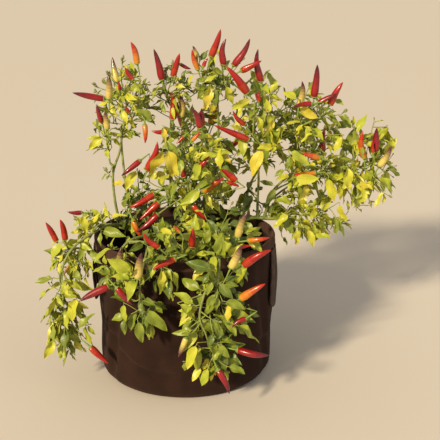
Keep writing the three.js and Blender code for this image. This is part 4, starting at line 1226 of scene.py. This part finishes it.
def mesh_of(name, corners, faces, materials, face_materials=None, smooth=True):
    """A new object whose mesh is made from arrays of corners, in metres, and triangles or quads."""
    mesh = bpy.data.meshes.new(name)
    faces = np.asarray(faces, np.int32)
    mesh.vertices.add(len(corners))
    mesh.vertices.foreach_set("co", np.asarray(corners, np.float32).ravel())
    mesh.loops.add(faces.size)
    mesh.loops.foreach_set("vertex_index", faces.ravel())
    mesh.polygons.add(len(faces))
    mesh.polygons.foreach_set("loop_start", np.arange(len(faces), dtype=np.int32) * faces.shape[1])
    mesh.polygons.foreach_set("use_smooth", np.full(len(faces), smooth))
    if face_materials is not None:
        mesh.polygons.foreach_set("material_index", np.asarray(face_materials, np.int32))
    mesh.update(calc_edges=True)
    mesh.validate()
    for material in materials:
        mesh.materials.append(material)
    return placed(name, mesh)


def settle(piece, slot, *nodes):
    """The piece rides with the plant and stands for the nodes given. The slot is not used."""
    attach(piece, "root")
    if nodes:
        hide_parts(*nodes)


def joined(parts):
    """Several (corners, faces) pairs as one, with the face numbers moved on."""
    starts = np.cumsum([0] + [len(corners) for corners, _ in parts[:-1]])
    return (np.vstack([corners for corners, _ in parts]),
            np.vstack([faces + start for (_, faces), start in zip(parts, starts)]))


def foliage_piece(name, parts, materials, nodes=(), face_materials=None):
    """Parts whose corners are in millimetres, as one piece of the foliage."""
    corners, faces = joined(parts)
    settle(mesh_of(name, corners * MM, faces, materials, face_materials), "foliage", *nodes)


def ring_frames(points):
    """Two directions across a row of points, which turn as little as they can from one to the next."""
    ahead = np.gradient(points, axis=0)
    ahead /= np.maximum(np.linalg.norm(ahead, axis=1), 1e-9)[:, None]
    side = np.cross(ahead[0], (0.0, 0.0, 1.0) if abs(ahead[0][2]) < 0.9 else (1.0, 0.0, 0.0))
    sides = []
    for way in ahead:
        side = side - way * side.dot(way)
        side = side / np.linalg.norm(side)
        sides.append(side)
    sides = np.array(sides)
    return sides, np.cross(ahead, sides)


def rings_round(points, radii, sides):
    """A ring of corners round each point. radii may be one a ring, or one a corner."""
    side, other = ring_frames(points)
    turn = 2 * np.pi * np.arange(sides) / sides
    radii = np.asarray(radii, float)
    radii = np.broadcast_to(radii[:, None] if radii.ndim == 1 else radii, (len(points), sides))
    return (points[:, None] + radii[..., None] * (np.cos(turn)[None, :, None] * side[:, None]
                                                  + np.sin(turn)[None, :, None] * other[:, None]))


def tube(points, radii, sides):
    """A closed tube of triangles through points."""
    rings = rings_round(points, radii, sides)
    return np.vstack([rings.reshape(-1, 3), points[:1], points[-1:]]), tube_faces(len(points), sides)


@functools.lru_cache(maxsize=None)
def tube_faces(count, sides):
    """The triangles of a tube's wall, in two halves of each square, and then of its two ends."""
    k = np.arange(sides)
    after = (k + 1) % sides
    rows = np.arange(count - 1)[:, None] * sides
    a, b = (rows + k).ravel(), (rows + after).ravel()
    far = (count - 1) * sides
    first, last = np.full(sides, count * sides), np.full(sides, count * sides + 1)
    return np.vstack([np.column_stack([a, b, b + sides]), np.column_stack([a, b + sides, a + sides]),
                      np.column_stack([after, k, first]), np.column_stack([k + far, after + far, last])])


def rippled(places, size, seed, waves=7):
    """A smooth field between about -1 and 1 over places, with ripples of a given size."""
    random = seeded(seed)
    total = np.zeros(len(places))
    for _ in range(waves):
        way = unit(off_centre(random))
        turn = 2 * np.pi * random()
        total += np.sin(places @ way * 2 * np.pi / (size * (0.7 + 0.8 * random())) + turn)
    return total / math.sqrt(waves) / 1.3


def deselect_all():
    if bpy.context.object and bpy.context.object.mode != "OBJECT":
        bpy.ops.object.mode_set(mode="OBJECT")
    bpy.ops.object.select_all(action="DESELECT")


def corner_places(piece):
    return np.array([corner.co for corner in piece.data.vertices])


def move_corners(piece, places):
    piece.data.vertices.foreach_set("co", places.astype(np.float32).ravel())


def turn_outwards():
    """In edit mode, makes every face of the piece point outwards, and leaves edit mode."""
    bpy.ops.mesh.select_all(action="SELECT")
    bpy.ops.mesh.normals_make_consistent(inside=False)
    bpy.ops.object.mode_set(mode="OBJECT")


def select_only(piece):
    deselect_all()
    piece.select_set(True)
    bpy.context.view_layer.objects.active = piece


def smooth_by_angle(piece, degrees):
    select_only(piece)
    bpy.ops.object.shade_smooth_by_angle(angle=math.radians(degrees))


def select_where(piece, test, kind="EDGE"):
    """In edit mode, selects just the edges or faces whose corners pass a test."""
    bpy.ops.mesh.select_all(action="DESELECT")
    bpy.ops.mesh.select_mode(type=kind)
    bpy.ops.object.mode_set(mode="OBJECT")
    corners = piece.data.vertices
    for item in piece.data.edges if kind == "EDGE" else piece.data.polygons:
        item.select = test([corners[i].co for i in item.vertices])
    bpy.ops.object.mode_set(mode="EDIT")


def wall_radius(height):
    """The bag's outer radius at a height on its side."""
    sizes = settings()
    return sizes.base_radius + (sizes.rim_radius - sizes.base_radius) * height / sizes.bag_height


def on_wall(turn, height):
    """Places on the bag's smooth wall, by how far round it they are and how high."""
    places = np.column_stack(np.broadcast_arrays(np.cos(turn), np.sin(turn), height))
    places[:, :2] *= wall_radius(places[:, 2])[:, None]
    return places


def stood_off(places, out):
    """Places on the wall, moved out from it."""
    places[:, :2] *= (1 + out / wall_radius(places[:, 2]))[:, None]
    return places


def folds(places):
    """How far the soft wall stands out or in at places on it: long upright folds, and a few slack dents."""
    sizes = settings()
    turn = np.arctan2(places[:, 1], places[:, 0])
    share = places[:, 2] / sizes.bag_height
    held = np.clip(np.sin(np.pi * np.clip(share, 0, 1) ** 0.8), 0, 1)
    upright = (0.5 * np.sin(5 * turn + 0.8 + 0.9 * share) + 0.35 * np.sin(9 * turn + 2.1 - 1.4 * share)
               + 0.2 * np.sin(17 * turn + 0.4))
    dents = rippled(places, 0.11, 31)
    creased = np.zeros(len(places))
    for middle, lean, width, depth in BAG_CREASES:
        off = (turn - middle - lean * (share - 0.5) + np.pi) % (2 * np.pi) - np.pi
        creased += depth * (np.exp(-(off / width) ** 2) - 0.5 * np.exp(-(off / width / 2.2) ** 2))
    for middle, low, rise, span, depth in BAG_SWAGS:
        off = (turn - middle + np.pi) % (2 * np.pi) - np.pi
        above = (places[:, 2] - low - rise * off**2) / SWAG_WIDTH
        creased -= depth * np.exp(-(off / span) ** 2) * 1.2 * np.tanh(above / 0.5) * np.exp(-abs(above) / 2)
    moved = sizes.fold_depth * held * (0.45 * upright + 0.6 * dents - creased)
    return FOLD_LIMIT * np.tanh(moved / FOLD_LIMIT)


class CHILLI_OT_grow_bag(bpy.types.Operator):
    """Make the felt bag: a turned wall and floor with soft folds, thickened inwards"""
    bl_idname = "chilli.grow_bag"
    bl_label = "Grow bag"

    def execute(self, context):
        sizes = settings()
        deselect_all()
        bpy.ops.mesh.primitive_cylinder_add(
            vertices=BAG_SIDES, radius=sizes.base_radius, depth=sizes.bag_height, end_fill_type="NGON",
            location=(0, 0, sizes.bag_height / 2))
        bag = context.object
        bag.name = "felt_bag"
        bpy.ops.object.transform_apply(location=True, rotation=False, scale=False)
        top = sizes.bag_height - FLAT
        bpy.ops.object.mode_set(mode="EDIT")
        select_where(bag, lambda at: len(at) > 4 and all(co.z > top for co in at), "FACE")
        bpy.ops.mesh.delete(type="ONLY_FACE")
        select_where(bag, lambda at: all(co.z < FLAT for co in at))
        bpy.ops.mesh.bevel(offset=FOOT_BEVEL, segments=6, profile=0.5)
        select_where(bag, lambda at: len(at) > 4 and all(co.z < FLAT for co in at), "FACE")
        for _ in range(FLOOR_RINGS):
            bpy.ops.mesh.inset(thickness=FLOOR_RING_WIDTH)
        select_where(bag, lambda at: abs(at[0].z - at[1].z) > sizes.bag_height / 2)
        bpy.ops.mesh.subdivide(number_cuts=WALL_CUTS)
        bpy.ops.object.mode_set(mode="OBJECT")
        places = corner_places(bag)
        out = np.hypot(places[:, 0], places[:, 1])
        places[:, :2] *= (wall_radius(places[:, 2]) / sizes.base_radius)[:, None]
        moved = folds(places) * np.clip(out / sizes.base_radius, 0, 1) ** 8
        places[:, :2] *= 1 + (moved / np.maximum(out, 0.01))[:, None]
        move_corners(bag, places)
        bag.data.materials.append(felt("Brown needled felt", between("felt", 0, 0.4, 0.75, 1), 0.07))
        bag.data.materials.append(felt("Black felt lining", between("lining", 0, 0.45, 1), 0.15))
        wall = bag.modifiers.new("Wall", "SOLIDIFY")
        wall.thickness, wall.offset, wall.material_offset = sizes.felt, -1, 1
        context.view_layer.objects.active = bag
        bpy.ops.object.modifier_apply(modifier=wall.name)
        smooth_by_angle(bag, 50)
        settle(bag, "grow_bag_felt", "grow_bag")
        return {"FINISHED"}


def on_hem(turn, height, out, bow=0):
    """Places on the band round the rim, which follows the wall's folds with soft ripples of its own."""
    places = on_wall(turn, height)
    return stood_off(places, out + (HEM_RIPPLE * rippled(places, HEM_RIPPLE_SIZE, 57) + folds(places)) + bow)


class CHILLI_OT_hem(bpy.types.Operator):
    """Make the band sewn round the rim, with its two rows of stitches"""
    bl_idname = "chilli.hem"
    bl_label = "Hem and stitching"

    def execute(self, context):
        sizes = settings()
        depth, inner = HEM_DEPTH, -sizes.felt
        foot, top = sizes.bag_height - sizes.hem, sizes.bag_height
        profile = [(0, foot), (0.7 * depth, foot + 0.0004), (depth, foot + 0.0016), (depth, (foot + top) / 2),
                   (depth, top - 0.0018), (0.6 * depth, top - 0.0003), (inner / 2, top + 0.0012),
                   (inner - 0.5 * depth, top - 0.0004), (inner - depth, top - 0.002),
                   (inner - depth, foot + 0.001), (inner, foot)]
        k, row = np.arange(BAG_SIDES), np.arange(len(profile))[:, None]
        turn = 2 * np.pi * k / BAG_SIDES
        corners = np.vstack([on_hem(turn, height, out) for out, height in profile])
        start, above = row * BAG_SIDES, (row + 1) % len(profile) * BAG_SIDES
        after = (k + 1) % BAG_SIDES
        faces = np.stack([start + k, start + after, above + after, above + k], axis=2)
        # The band's felt is lighter than the wall's: partly its own colour and partly a painted highlight
        # where the rim catches the light.
        band = felt("Brown felt binding", between("binding", 0, 0.4, 1), 0.2)
        hem = mesh_of("bag_hem", corners, faces.reshape(-1, 4), [band])
        smooth_by_angle(hem, 40)
        settle(hem, "grow_bag_felt", "grow_bag")
        stitches = []
        for height in (foot + row for row in HEM_ROWS):
            for k in range(HEM_STITCHES):
                turn = (2 * np.pi * (k + (height * 700) % 1) / HEM_STITCHES
                        + np.linspace(-HEM_STITCH_TURN, HEM_STITCH_TURN, 4))
                places = on_hem(turn, height, depth, HEM_STITCH_BOW)
                stitches.append(tube(places, np.full(4, HEM_THREAD), 5))
        sewing = thread("Brown sewing thread", colour_of("hem_thread"))
        settle(mesh_of("hem_stitches", *joined(stitches), [sewing]), "grow_bag_felt")
        return {"FINISHED"}


class CHILLI_OT_handles(bpy.types.Operator):
    """Make the two loops of webbing that hang limp against the bag"""
    bl_idname = "chilli.handles"
    bl_label = "Handles"

    def execute(self, context):
        sizes = settings()
        tape = webbing("Brown polypropylene webbing", between("webbing", 0, 0.45, 1))
        sewing = thread("Brown handle thread", colour_of("handle_thread"))
        width = sizes.strap_width
        top = sizes.bag_height - sizes.hem - STRAP_UNDER_HEM
        foot = top - STRAP_DROP + width
        bend = (width + STRAP_SLIT) / 2
        down, round_foot = np.linspace(top, foot, STRAP_STEPS), np.linspace(0, np.pi, STRAP_STEPS)[1:-1]
        stations = ([(-bend, height, 0) for height in down]
                    + [(-bend * np.cos(t), foot - bend * np.sin(t), t) for t in round_foot]
                    + [(bend, height, np.pi) for height in np.linspace(foot, top, STRAP_STEPS)])
        across, height, turn = np.array(stations).T[:, :, None]
        side, out = STRAP_SECTION.T
        slack = STRAP_SLACK * np.sin(np.pi * np.clip((top - height) / (STRAP_DROP - width), 0, 1))
        along = across + side * width / 2 * np.cos(turn)
        level = height + side * width / 2 * np.sin(turn)
        places = on_wall((along / STRAP_BEND).ravel(), level.ravel())
        raised = STRAP_GAP + np.maximum(0, folds(places)).reshape(level.shape) + slack + out * STRAP_THICKNESS
        rings = stood_off(places, raised.ravel())
        sides = len(STRAP_SECTION)
        corners = np.vstack([rings, rings[:sides].mean(0), rings[-sides:].mean(0)])
        seams = [stood_off(on_wall((leg + aside) / STRAP_BEND, top - low - STRAP_STITCH),
                           STRAP_STITCH_OUT + STRAP_STITCH_BOW)
                 for leg in (-bend, bend) for aside, low in STRAP_STITCHES]
        for name, degrees in HANDLES:
            sine, cosine = math.sin(math.radians(degrees)), math.cos(math.radians(degrees))
            spin = np.array([[cosine, sine, 0], [-sine, cosine, 0], [0, 0, 1]])
            strap = mesh_of(name + "_webbing", corners @ spin, tube_faces(len(stations), sides), [tape])
            select_only(strap)
            bpy.ops.object.mode_set(mode="EDIT")
            turn_outwards()
            smooth_by_angle(strap, 45)
            settle(strap, "webbing", name)
            stitches = [tube(seam @ spin, np.full(4, STRAP_THREAD), 5) for seam in seams]
            settle(mesh_of(name + "_stitches", *joined(stitches), [sewing]), "webbing")
        return {"FINISHED"}


def crumb_shapes(random):
    """A few lumps, each a knob of eight sides cut finer and pulled out of shape."""
    knob = np.array([[1, 0, 0], [-1, 0, 0], [0, 1, 0], [0, -1, 0], [0, 0, 1], [0, 0, -1]], float)
    sides = ((0, 2, 4), (2, 1, 4), (1, 3, 4), (3, 0, 4), (2, 0, 5), (1, 2, 5), (3, 1, 5), (0, 3, 5))
    corners, faces, middles = list(knob), [], {}
    for a, b, c in sides:
        ids = []
        for pair in ((a, b), (b, c), (c, a)):
            key = tuple(sorted(pair))
            if key not in middles:
                middles[key] = len(corners)
                corners.append(unit(knob[pair[0]] + knob[pair[1]]))
            ids.append(middles[key])
        faces += [(a, ids[0], ids[2]), (ids[0], b, ids[1]), (ids[2], ids[1], c), tuple(ids)]
    shapes = []
    for _ in range(CRUMB_SHAPES):
        pulled = 1 + 0.5 * np.array([random() - 0.5 for _ in corners])
        shapes.append(np.array(corners) * pulled[:, None] * (1, 0.6 + 0.4 * random(), 0.4 + 0.4 * random()))
    return shapes, np.array(faces)


def mix_dome(far):
    """How high the potting mix stands above its edge, so far from its middle."""
    return MIX_DOME * (1 - np.clip((far - DOME_FROM) / DOME_TO_EDGE, 0, 1))


class CHILLI_OT_potting_mix(bpy.types.Operator):
    """Make the potting mix: a lumpy domed surface with loose crumbs on it"""
    bl_idname = "chilli.potting_mix"
    bl_label = "Potting mix"

    def execute(self, context):
        sizes = settings()
        deselect_all()
        edge = wall_radius(SOIL_TOP) - sizes.felt - WALL_GAP
        level = SOIL_TOP - MIX_BELOW_TOP
        bpy.ops.mesh.primitive_circle_add(vertices=MIX_SIDES, radius=edge, fill_type="NGON",
                                          location=(0, 0, level))
        soil = context.object
        soil.name = "potting_mix_surface"
        bpy.ops.object.transform_apply(location=True, rotation=False, scale=False)
        bpy.ops.object.mode_set(mode="EDIT")
        bpy.ops.mesh.select_all(action="SELECT")
        for _ in range(MIX_RINGS):
            bpy.ops.mesh.inset(thickness=MIX_RING_WIDTH)
        rim = edge - 1e-4
        select_where(soil, lambda at: all(math.hypot(co.x, co.y) > rim for co in at))
        bpy.ops.mesh.extrude_region_move(TRANSFORM_OT_translate={"value": (0, 0, -MIX_DEPTH)})
        bpy.ops.mesh.edge_face_add()
        turn_outwards()
        places = corner_places(soil)
        out = np.hypot(places[:, 0], places[:, 1])
        upper = places[:, 2] > level - MIX_DEPTH / 2
        lumps = 0.0016 * rippled(places, 0.030, 71) + 0.0009 * rippled(places, 0.011, 72)
        places[upper, 2] += (mix_dome(out) + lumps * (1 - 0.5 * (out > edge - 1e-3)))[upper]
        places[:, :2] *= (1 + folds(places) * (out / edge) ** 8 / np.maximum(out, 0.01))[:, None]
        move_corners(soil, places)
        smooth_by_angle(soil, 60)
        soil.data.materials.append(potting_mix("Damp peat and bark mix", between("mix", 0, 0.4, 1, 0.3)))
        settle(soil, "potting_mix", "potting_soil")
        random = seeded(811)
        shapes, faces = crumb_shapes(random)
        parts = []
        for _ in range(sizes.crumbs):
            turn, far = 2 * math.pi * random(), (edge - CRUMBS_INSIDE) * math.sqrt(random())
            size = CRUMB_SIZE + CRUMB_SPREAD * random() ** 3
            at = (far * math.cos(turn), far * math.sin(turn), level + mix_dome(far) + 0.3 * size)
            spin = np.array(Euler([6.3 * random() for _ in range(3)]).to_matrix())
            parts.append((shapes[int(random() * len(shapes))] * size @ spin + at, faces))
        chips = potting_mix("Composted bark crumbs", between("crumbs", 0.15, 0.45, 1, 0))
        settle(mesh_of("potting_mix_crumbs", *joined(parts), [chips], smooth=False), "potting_mix")
        return {"FINISHED"}


class CHILLI_OT_stems(bpy.types.Operator):
    """Make the main stem and the boughs, each one tapering limb with the relief of its bark"""
    bl_idname = "chilli.stems"
    bl_label = "Stem and boughs"

    def execute(self, context):
        limbs = grown_plant()[0]
        woody = bark("Corky stem bark", between("stem", 0, 0.5, 1, 0.35), 1.6, 0.85)
        green = bark("Green bough skin", between("bough", 0, 0.5, 1, 0.2), 1.2, 0.62)
        forks = np.array([along_curve(limbs[row.parent][0], [row.at])[0] for row in BOUGHS])
        for i, (name, (places, radius_at)) in enumerate(limbs.items()):
            is_main = name == "main_stem"
            sides, swell, depth = STEM_SKIN if is_main else BOUGH_SKIN
            shares = shares_along(places, SKIN_STEP)
            points = along_curve(places, shares)
            radii = radius_at(shares)
            if not is_main:
                travelled = np.append(0, np.cumsum(np.linalg.norm(np.diff(points, axis=0), axis=1)))
                radii = radii * BOUGH_SHARE * (1 + COLLAR * np.exp(-travelled / COLLAR_LENGTH))
            radii = radii * (1 + swell * np.exp(-(gaps(points, forks) / FORK_REACH).min(axis=1) ** 2))
            skin = rings_round(points, radii, sides).reshape(-1, 3)
            grain, knobs = (rippled(skin, size, seed + i).reshape(len(points), sides)
                            for size, seed in ((5.0, 401), (14.0, 501)))
            turn = 2 * np.pi * np.arange(sides) / sides
            ridges = depth * (np.sin(5 * turn + 0.3 * i) + 0.5 * np.sin(3 * turn + i))
            grown = radii[:, None] * (1 + ridges + depth * grain + 0.8 * depth * knobs)
            corners, faces = tube(points, grown, sides)
            piece = mesh_of(name + "_bark", corners * MM, faces, [woody if is_main else green])
            smooth_by_angle(piece, 60)
            settle(piece, "stem", name)
        return {"FINISHED"}


def twig_points(growth):
    """The knots of a mass's twigs, each a little out of line, as shoots are."""
    stray = np.column_stack([rippled(growth.places, STRAY_SIZE, 601 + 7 * growth.own + axis)
                             for axis in range(3)])
    return growth.places + TWIG_STRAY * stray * np.minimum(1, np.array(growth.ways) / STRAY_FROM)[:, None]


class CHILLI_OT_twigs(bpy.types.Operator):
    """Make the twigs that branch from each bough, and every leaf's stalk"""
    bl_idname = "chilli.twigs"
    bl_label = "Twigs and leaf stalks"

    def execute(self, context):
        _, growths, shoots = grown_plant()
        twigs = [tube(line, SHOOT_RADII, TWIG_SIDES) for shoot in shoots for line in shoot.twigs]
        stalks = [leaf_stalk(leaf) for shoot in shoots for leaf in shoot.leaves]
        for growth in growths:
            radii, points = growth.radii(), twig_points(growth)
            for branch in growth.branches:
                row = branch["knots"]
                widths = radii[row].copy()
                if row[0] > 0:
                    widths[0] = min(widths[0], TWIG_START * widths[1])
                twigs.append(tube(points[row], widths, TWIG_SIDES))
            stalks += [leaf_stalk(leaf) for leaf in growth.leaves]
        foliage_piece("twigs", twigs, [green_skin("Green twig skin", colour_of("twigs"))], FOLIAGE)
        foliage_piece("leaf_stalks", stalks, [green_skin("Pale leaf stalks", colour_of("leaf_stalks"))])
        return {"FINISHED"}


@functools.lru_cache(maxsize=1)
def leaf_shapes():
    """Blades of length one: across, along and up. Each is pointed, folded on its rib, drooping and waved."""
    random = seeded(907)
    shapes = []
    for _ in range(LEAF_SHAPES):
        fold = 0.2 + 0.36 * random()
        droop = 0.06 + 0.32 * random() ** 1.3
        wave, phase = 0.03 + 0.06 * random(), 6.3 * random()
        twist = 0.7 * (random() - 0.5)
        width = BLADE_WIDTH * (0.84 + 0.3 * random())
        sway = 0.12 * (random() - 0.5)
        rows = []
        for s in LEAF_STATIONS:
            half = width / 2 * (s**0.62 * (1 - s) ** 0.98) / BLADE_PEAK
            for x in LEAF_COLUMNS:
                across, up = half * x, fold * half * abs(x) ** 1.2
                up += wave * math.sin(9.5 * s + phase + (1.6 if x > 0 else 0)) * abs(x) * min(1, half * 8)
                turn = twist * s
                flat = across * math.cos(turn) - up * math.sin(turn)
                high = across * math.sin(turn) + up * math.cos(turn)
                rows.append((flat + sway * math.sin(math.pi * s), 1 - BLADE_SHARE * (1 - s),
                             high + 0.02 - droop * s**2))
        shapes.append(np.array(rows))
    return shapes


def leaf_faces():
    """Triangles over the grid of a blade, with none where it runs to a point."""
    wide, faces = len(LEAF_COLUMNS), []
    last = len(LEAF_STATIONS) - 1
    for i in range(last):
        for k in range(wide - 1):
            a, b = i * wide + k, i * wide + k + 1
            c, d = b + wide, a + wide
            if i == 0:
                faces.append((a, c, d))
            elif i == last - 1:
                faces.append((a, b, d))
            else:
                faces += [(a, b, c), (a, c, d)]
    return np.array(faces)


def leaf_shape_of(leaf):
    return leaf_shapes()[int(abs(leaf["root"].sum() * 7.31 + leaf["length"] * 3.7)) % LEAF_SHAPES]


def laid_out(leaf, local):
    """A leaf's own places, across, along and up in lengths of the leaf, in the plant's frame."""
    facing, side = leaf["facing"], leaf["side"]
    over = np.cross(facing, side)
    return leaf["root"] + leaf["length"] * (local[:, :1] * -side + local[:, 1:2] * facing
                                            + local[:, 2:] * over)


def leaf_stalk(leaf):
    """The stalk from the twig to the blade, which runs on along the blade as its rib."""
    wide = len(LEAF_COLUMNS)
    rib = laid_out(leaf, leaf_shape_of(leaf)[[k * wide + wide // 2 for k in RIB_ROWS]] + (0, 0, 0.003))
    points = [leaf["root"], *rib]
    if np.linalg.norm(leaf["start"] - leaf["root"]) > 1:
        points.insert(0, leaf["start"])
    widths = np.linspace(*STALK_RADII, len(points)) * (0.6 + 0.4 * leaf["length"] / 40)
    return tube(np.array(points), widths, 3)


class CHILLI_OT_leaves(bpy.types.Operator):
    """Make the leaves, in sprays of one green each"""
    bl_idname = "chilli.leaves"
    bl_label = "Leaves"

    def execute(self, context):
        _, growths, shoots = grown_plant()
        used, faces = np.unique(leaf_faces(), return_inverse=True)
        faces = faces.reshape(-1, 3)
        for tint, name in enumerate(LEAF_TINTS):
            parts = [(laid_out(leaf, leaf_shape_of(leaf))[used], faces)
                     for source in [*growths, *shoots] for leaf in source.leaves if leaf["tint"] == tint]
            foliage_piece(f"leaves_{name}", parts, [leaf_blade(f"Chilli leaf, {name}", between(name, 0, 1))])
        return {"FINISHED"}


def fruit_axis(fruit, random):
    """A chilli's middle line, bowed a little to one side between its crown and its tip."""
    facing, s = fruit["facing"], FRUIT_STATIONS
    aside = turned(unit(np.cross(facing, (0.21, 0.93, 0.3))), facing, 6.28 * random())
    bow = fruit["length"] * (0.02 + 0.09 * random())
    return (fruit["crown"] + np.outer(s * fruit["length"], facing)
            + np.outer(bow * np.sin(np.pi * s**1.2), aside))


def fruit_radii(fruit_length, random):
    """A chilli's width at its crown, and its skin's radii at every corner, a little uneven."""
    width = min(FRUIT_WIDTHS[1], max(FRUIT_WIDTHS[0], 0.118 * fruit_length + 0.6)) * (0.92 + 0.2 * random())
    turn = 2 * np.pi * np.arange(FRUIT_SIDES) / FRUIT_SIDES
    uneven = 1 + 0.05 * np.cos(2 * turn + 6 * random()) + 0.03 * np.cos(3 * turn + 6 * random())
    dented = 1 + 0.05 * np.sin(7 * FRUIT_STATIONS + 6 * random())
    return width, width * np.outer(FRUIT_OUTLINE * dented, uneven)


def fruit_cap(fruit, width):
    """The green cap on a chilli's crown, with small teeth round its edge."""
    along = np.array([-3.2, -1.6, -0.4, 0.6, 1.5, 1.9])
    spread = np.array([1.3, 1.7, 0.5 * width + 0.5, 0.78 * width + 0.2, 0.95 * width + 0.25, 0.9 * width])
    points = fruit["crown"] + np.outer(along, fruit["facing"])
    teeth = 1 + np.array([[0], [0], [0], [0.02], [0.05], [0.1]]) * np.array([1, -1] * 5)
    return tube(points, spread[:, None] * teeth, 10)


def fruit_stalk(fruit, joint):
    """A chilli's stalk, which thickens towards the cap."""
    crown, facing = fruit["crown"], fruit["facing"]
    near = crown - 2.2 * facing
    bend = near - 0.45 * np.linalg.norm(near - joint) * facing
    shares = np.linspace(0, 1, 6)[:, None]
    points = (1 - shares) ** 2 * joint + 2 * shares * (1 - shares) * bend + shares**2 * near
    return tube(points, np.linspace(0.85, 1.55, 6), 6)


def fruit_bands(zones):
    """Which zone of colour each face of a chilli's tube lies in."""
    middles = (FRUIT_STATIONS[1:] + FRUIT_STATIONS[:-1]) / 2
    zone_of = [next(i for i, (end, _) in enumerate(zones) if s <= end) for s in middles]
    wall = np.repeat(zone_of, FRUIT_SIDES)
    return np.concatenate([wall, wall, np.full(FRUIT_SIDES, zone_of[0]), np.full(FRUIT_SIDES, zone_of[-1])])


class CHILLI_OT_fruit(bpy.types.Operator):
    """Make the chillies with their green caps and stalks"""
    bl_idname = "chilli.fruit"
    bl_label = "Chillies"

    def execute(self, context):
        _, growths, _ = grown_plant()
        random = seeded(1201)
        skins = {ripeness: [] for ripeness in RIPENESS}
        caps = []
        for growth in growths:
            points = twig_points(growth)
            for branch in growth.branches:
                fruit = branch["fruit"]
                if not fruit:
                    continue
                axis = fruit_axis(fruit, random)
                width, radii = fruit_radii(fruit["length"], random)
                skins[fruit["ripeness"]].append(tube(axis, radii, FRUIT_SIDES))
                caps += [fruit_cap(fruit, width), fruit_stalk(fruit, points[branch["knots"][-1]])]
        for ripeness, parts in skins.items():
            zones = RIPENESS[ripeness]
            materials = [chilli_skin(f"Waxy chilli skin, {ripeness} {i}", colour)
                         for i, colour in enumerate(between(ripeness, *(share for _, share in zones)), 1)]
            foliage_piece(f"chillies_{ripeness}", parts, materials,
                          face_materials=np.tile(fruit_bands(zones), len(parts)))
        foliage_piece("chilli_caps", caps, [green_skin("Chilli caps and stalks", colour_of("caps"), 0.45)])
        return {"FINISHED"}


class CHILLI_OT_buds(bpy.types.Operator):
    """Make the small green buds on their stalks at the ends of the sprays"""
    bl_idname = "chilli.buds"
    bl_label = "Buds"

    def execute(self, context):
        _, growths, shoots = grown_plant()
        random = seeded(1301)
        parts = []
        for source in [*growths, *shoots]:
            for start, way in source.buds:
                long, size = 4 + 7 * random(), 0.8 + 1.3 * random()
                end = start + long * way
                stalk = np.array([start, (start + end) / 2 - (0, 0, 0.4), end])
                parts.append(tube(stalk, [0.5, 0.45, 0.6], 4))
                bud = np.array([end + way * size * step for step in (-0.2, 0.5, 1.5, 2.6, 3.3)])
                parts.append(tube(bud, size * np.array([0.5, 0.85, 1, 0.7, 0.12]), 6))
        foliage_piece("buds", parts, [green_skin("Young buds", colour_of("buds"), 0.6)])
        return {"FINISHED"}


class CHILLI_OT_stage(bpy.types.Operator):
    """Lay the pale floor, set the soft lights and the camera"""
    bl_idname = "chilli.stage"
    bl_label = "Floor, lights and camera"

    def execute(self, context):
        deselect_all()
        bpy.ops.mesh.primitive_plane_add(size=90, location=(0, 0, 0))
        floor = context.object
        floor.name = "floor"
        paint = bare_material("Matt painted floor", 0.9, Base_Color=linear("#d3ccc2"), Specular_IOR_Level=0.2)
        floor.data.materials.append(paint[0])
        world = bpy.data.worlds.new("Soft daylight")
        world.use_nodes = True
        background = world.node_tree.nodes["Background"]
        background.inputs["Color"].default_value = linear("#f3ebdf")
        background.inputs["Strength"].default_value = 0.5
        context.scene.world = world
        key = bpy.data.lights.new("key_light", "SUN")
        key.energy, key.angle, key.color = 4.6, math.radians(6), linear("#ffeac6")[:3]
        fill = bpy.data.lights.new("fill_light", "AREA")
        fill.energy, fill.size, fill.color = 8, 2.0, linear("#f4f2ff")[:3]
        for lamp, place in ((key, (-1.7, -2.2, 1.75)), (fill, (2.0, -1.4, 1.3))):
            light = placed(lamp.name, lamp, place)
            towards = Vector((0, 0, 0.3)) - light.location
            light.rotation_euler = towards.to_track_quat("-Z", "Y").to_euler()
        # The camera stands where the photograph was taken: 0.67 m up, looking 17 degrees down.
        lens = bpy.data.cameras.new("camera")
        lens.sensor_width, lens.lens = SENSOR, SENSOR * FOCAL / PICTURE
        camera = placed("camera", lens, EYE * MM)
        camera.rotation_euler = Euler((math.pi / 2 - PITCH, 0, -YAW))
        context.scene.camera = camera
        context.scene.view_settings.view_transform = "Standard"
        return {"FINISHED"}


class CHILLI_PT_panel(bpy.types.Panel):
    """Lists the plant's pieces in the sidebar"""
    bl_idname = "CHILLI_PT_panel"
    bl_label = "Chilli plant"
    bl_space_type = "VIEW_3D"
    bl_region_type = "UI"
    bl_category = "Chilli plant"

    def draw(self, context):
        for group in (context.scene.chilli_plant, context.scene.chilli_colours):
            for field in type(group).__annotations__:
                self.layout.prop(group, field)
        for operator in OPERATORS:
            self.layout.operator(operator.bl_idname)


OPERATORS = (CHILLI_OT_grow_bag, CHILLI_OT_hem, CHILLI_OT_handles, CHILLI_OT_potting_mix, CHILLI_OT_stems,
             CHILLI_OT_twigs, CHILLI_OT_leaves, CHILLI_OT_fruit, CHILLI_OT_buds, CHILLI_OT_stage)
CLASSES = (ChilliPlantColours, ChilliPlantSettings, *OPERATORS, CHILLI_PT_panel)


def register():
    for cls in CLASSES:
        bpy.utils.register_class(cls)
    bpy.types.Scene.chilli_plant = PointerProperty(type=ChilliPlantSettings)
    bpy.types.Scene.chilli_colours = PointerProperty(type=ChilliPlantColours)


def unregister():
    del bpy.types.Scene.chilli_plant, bpy.types.Scene.chilli_colours
    for cls in reversed(CLASSES):
        bpy.utils.unregister_class(cls)


def main():
    register()
    bpy.ops.chilli.grow_bag()
    bpy.ops.chilli.hem()
    bpy.ops.chilli.handles()
    bpy.ops.chilli.potting_mix()
    bpy.ops.chilli.stems()
    bpy.ops.chilli.twigs()
    bpy.ops.chilli.leaves()
    bpy.ops.chilli.fruit()
    bpy.ops.chilli.buds()
    bpy.ops.chilli.stage()


if __name__ == "__main__":
    main()
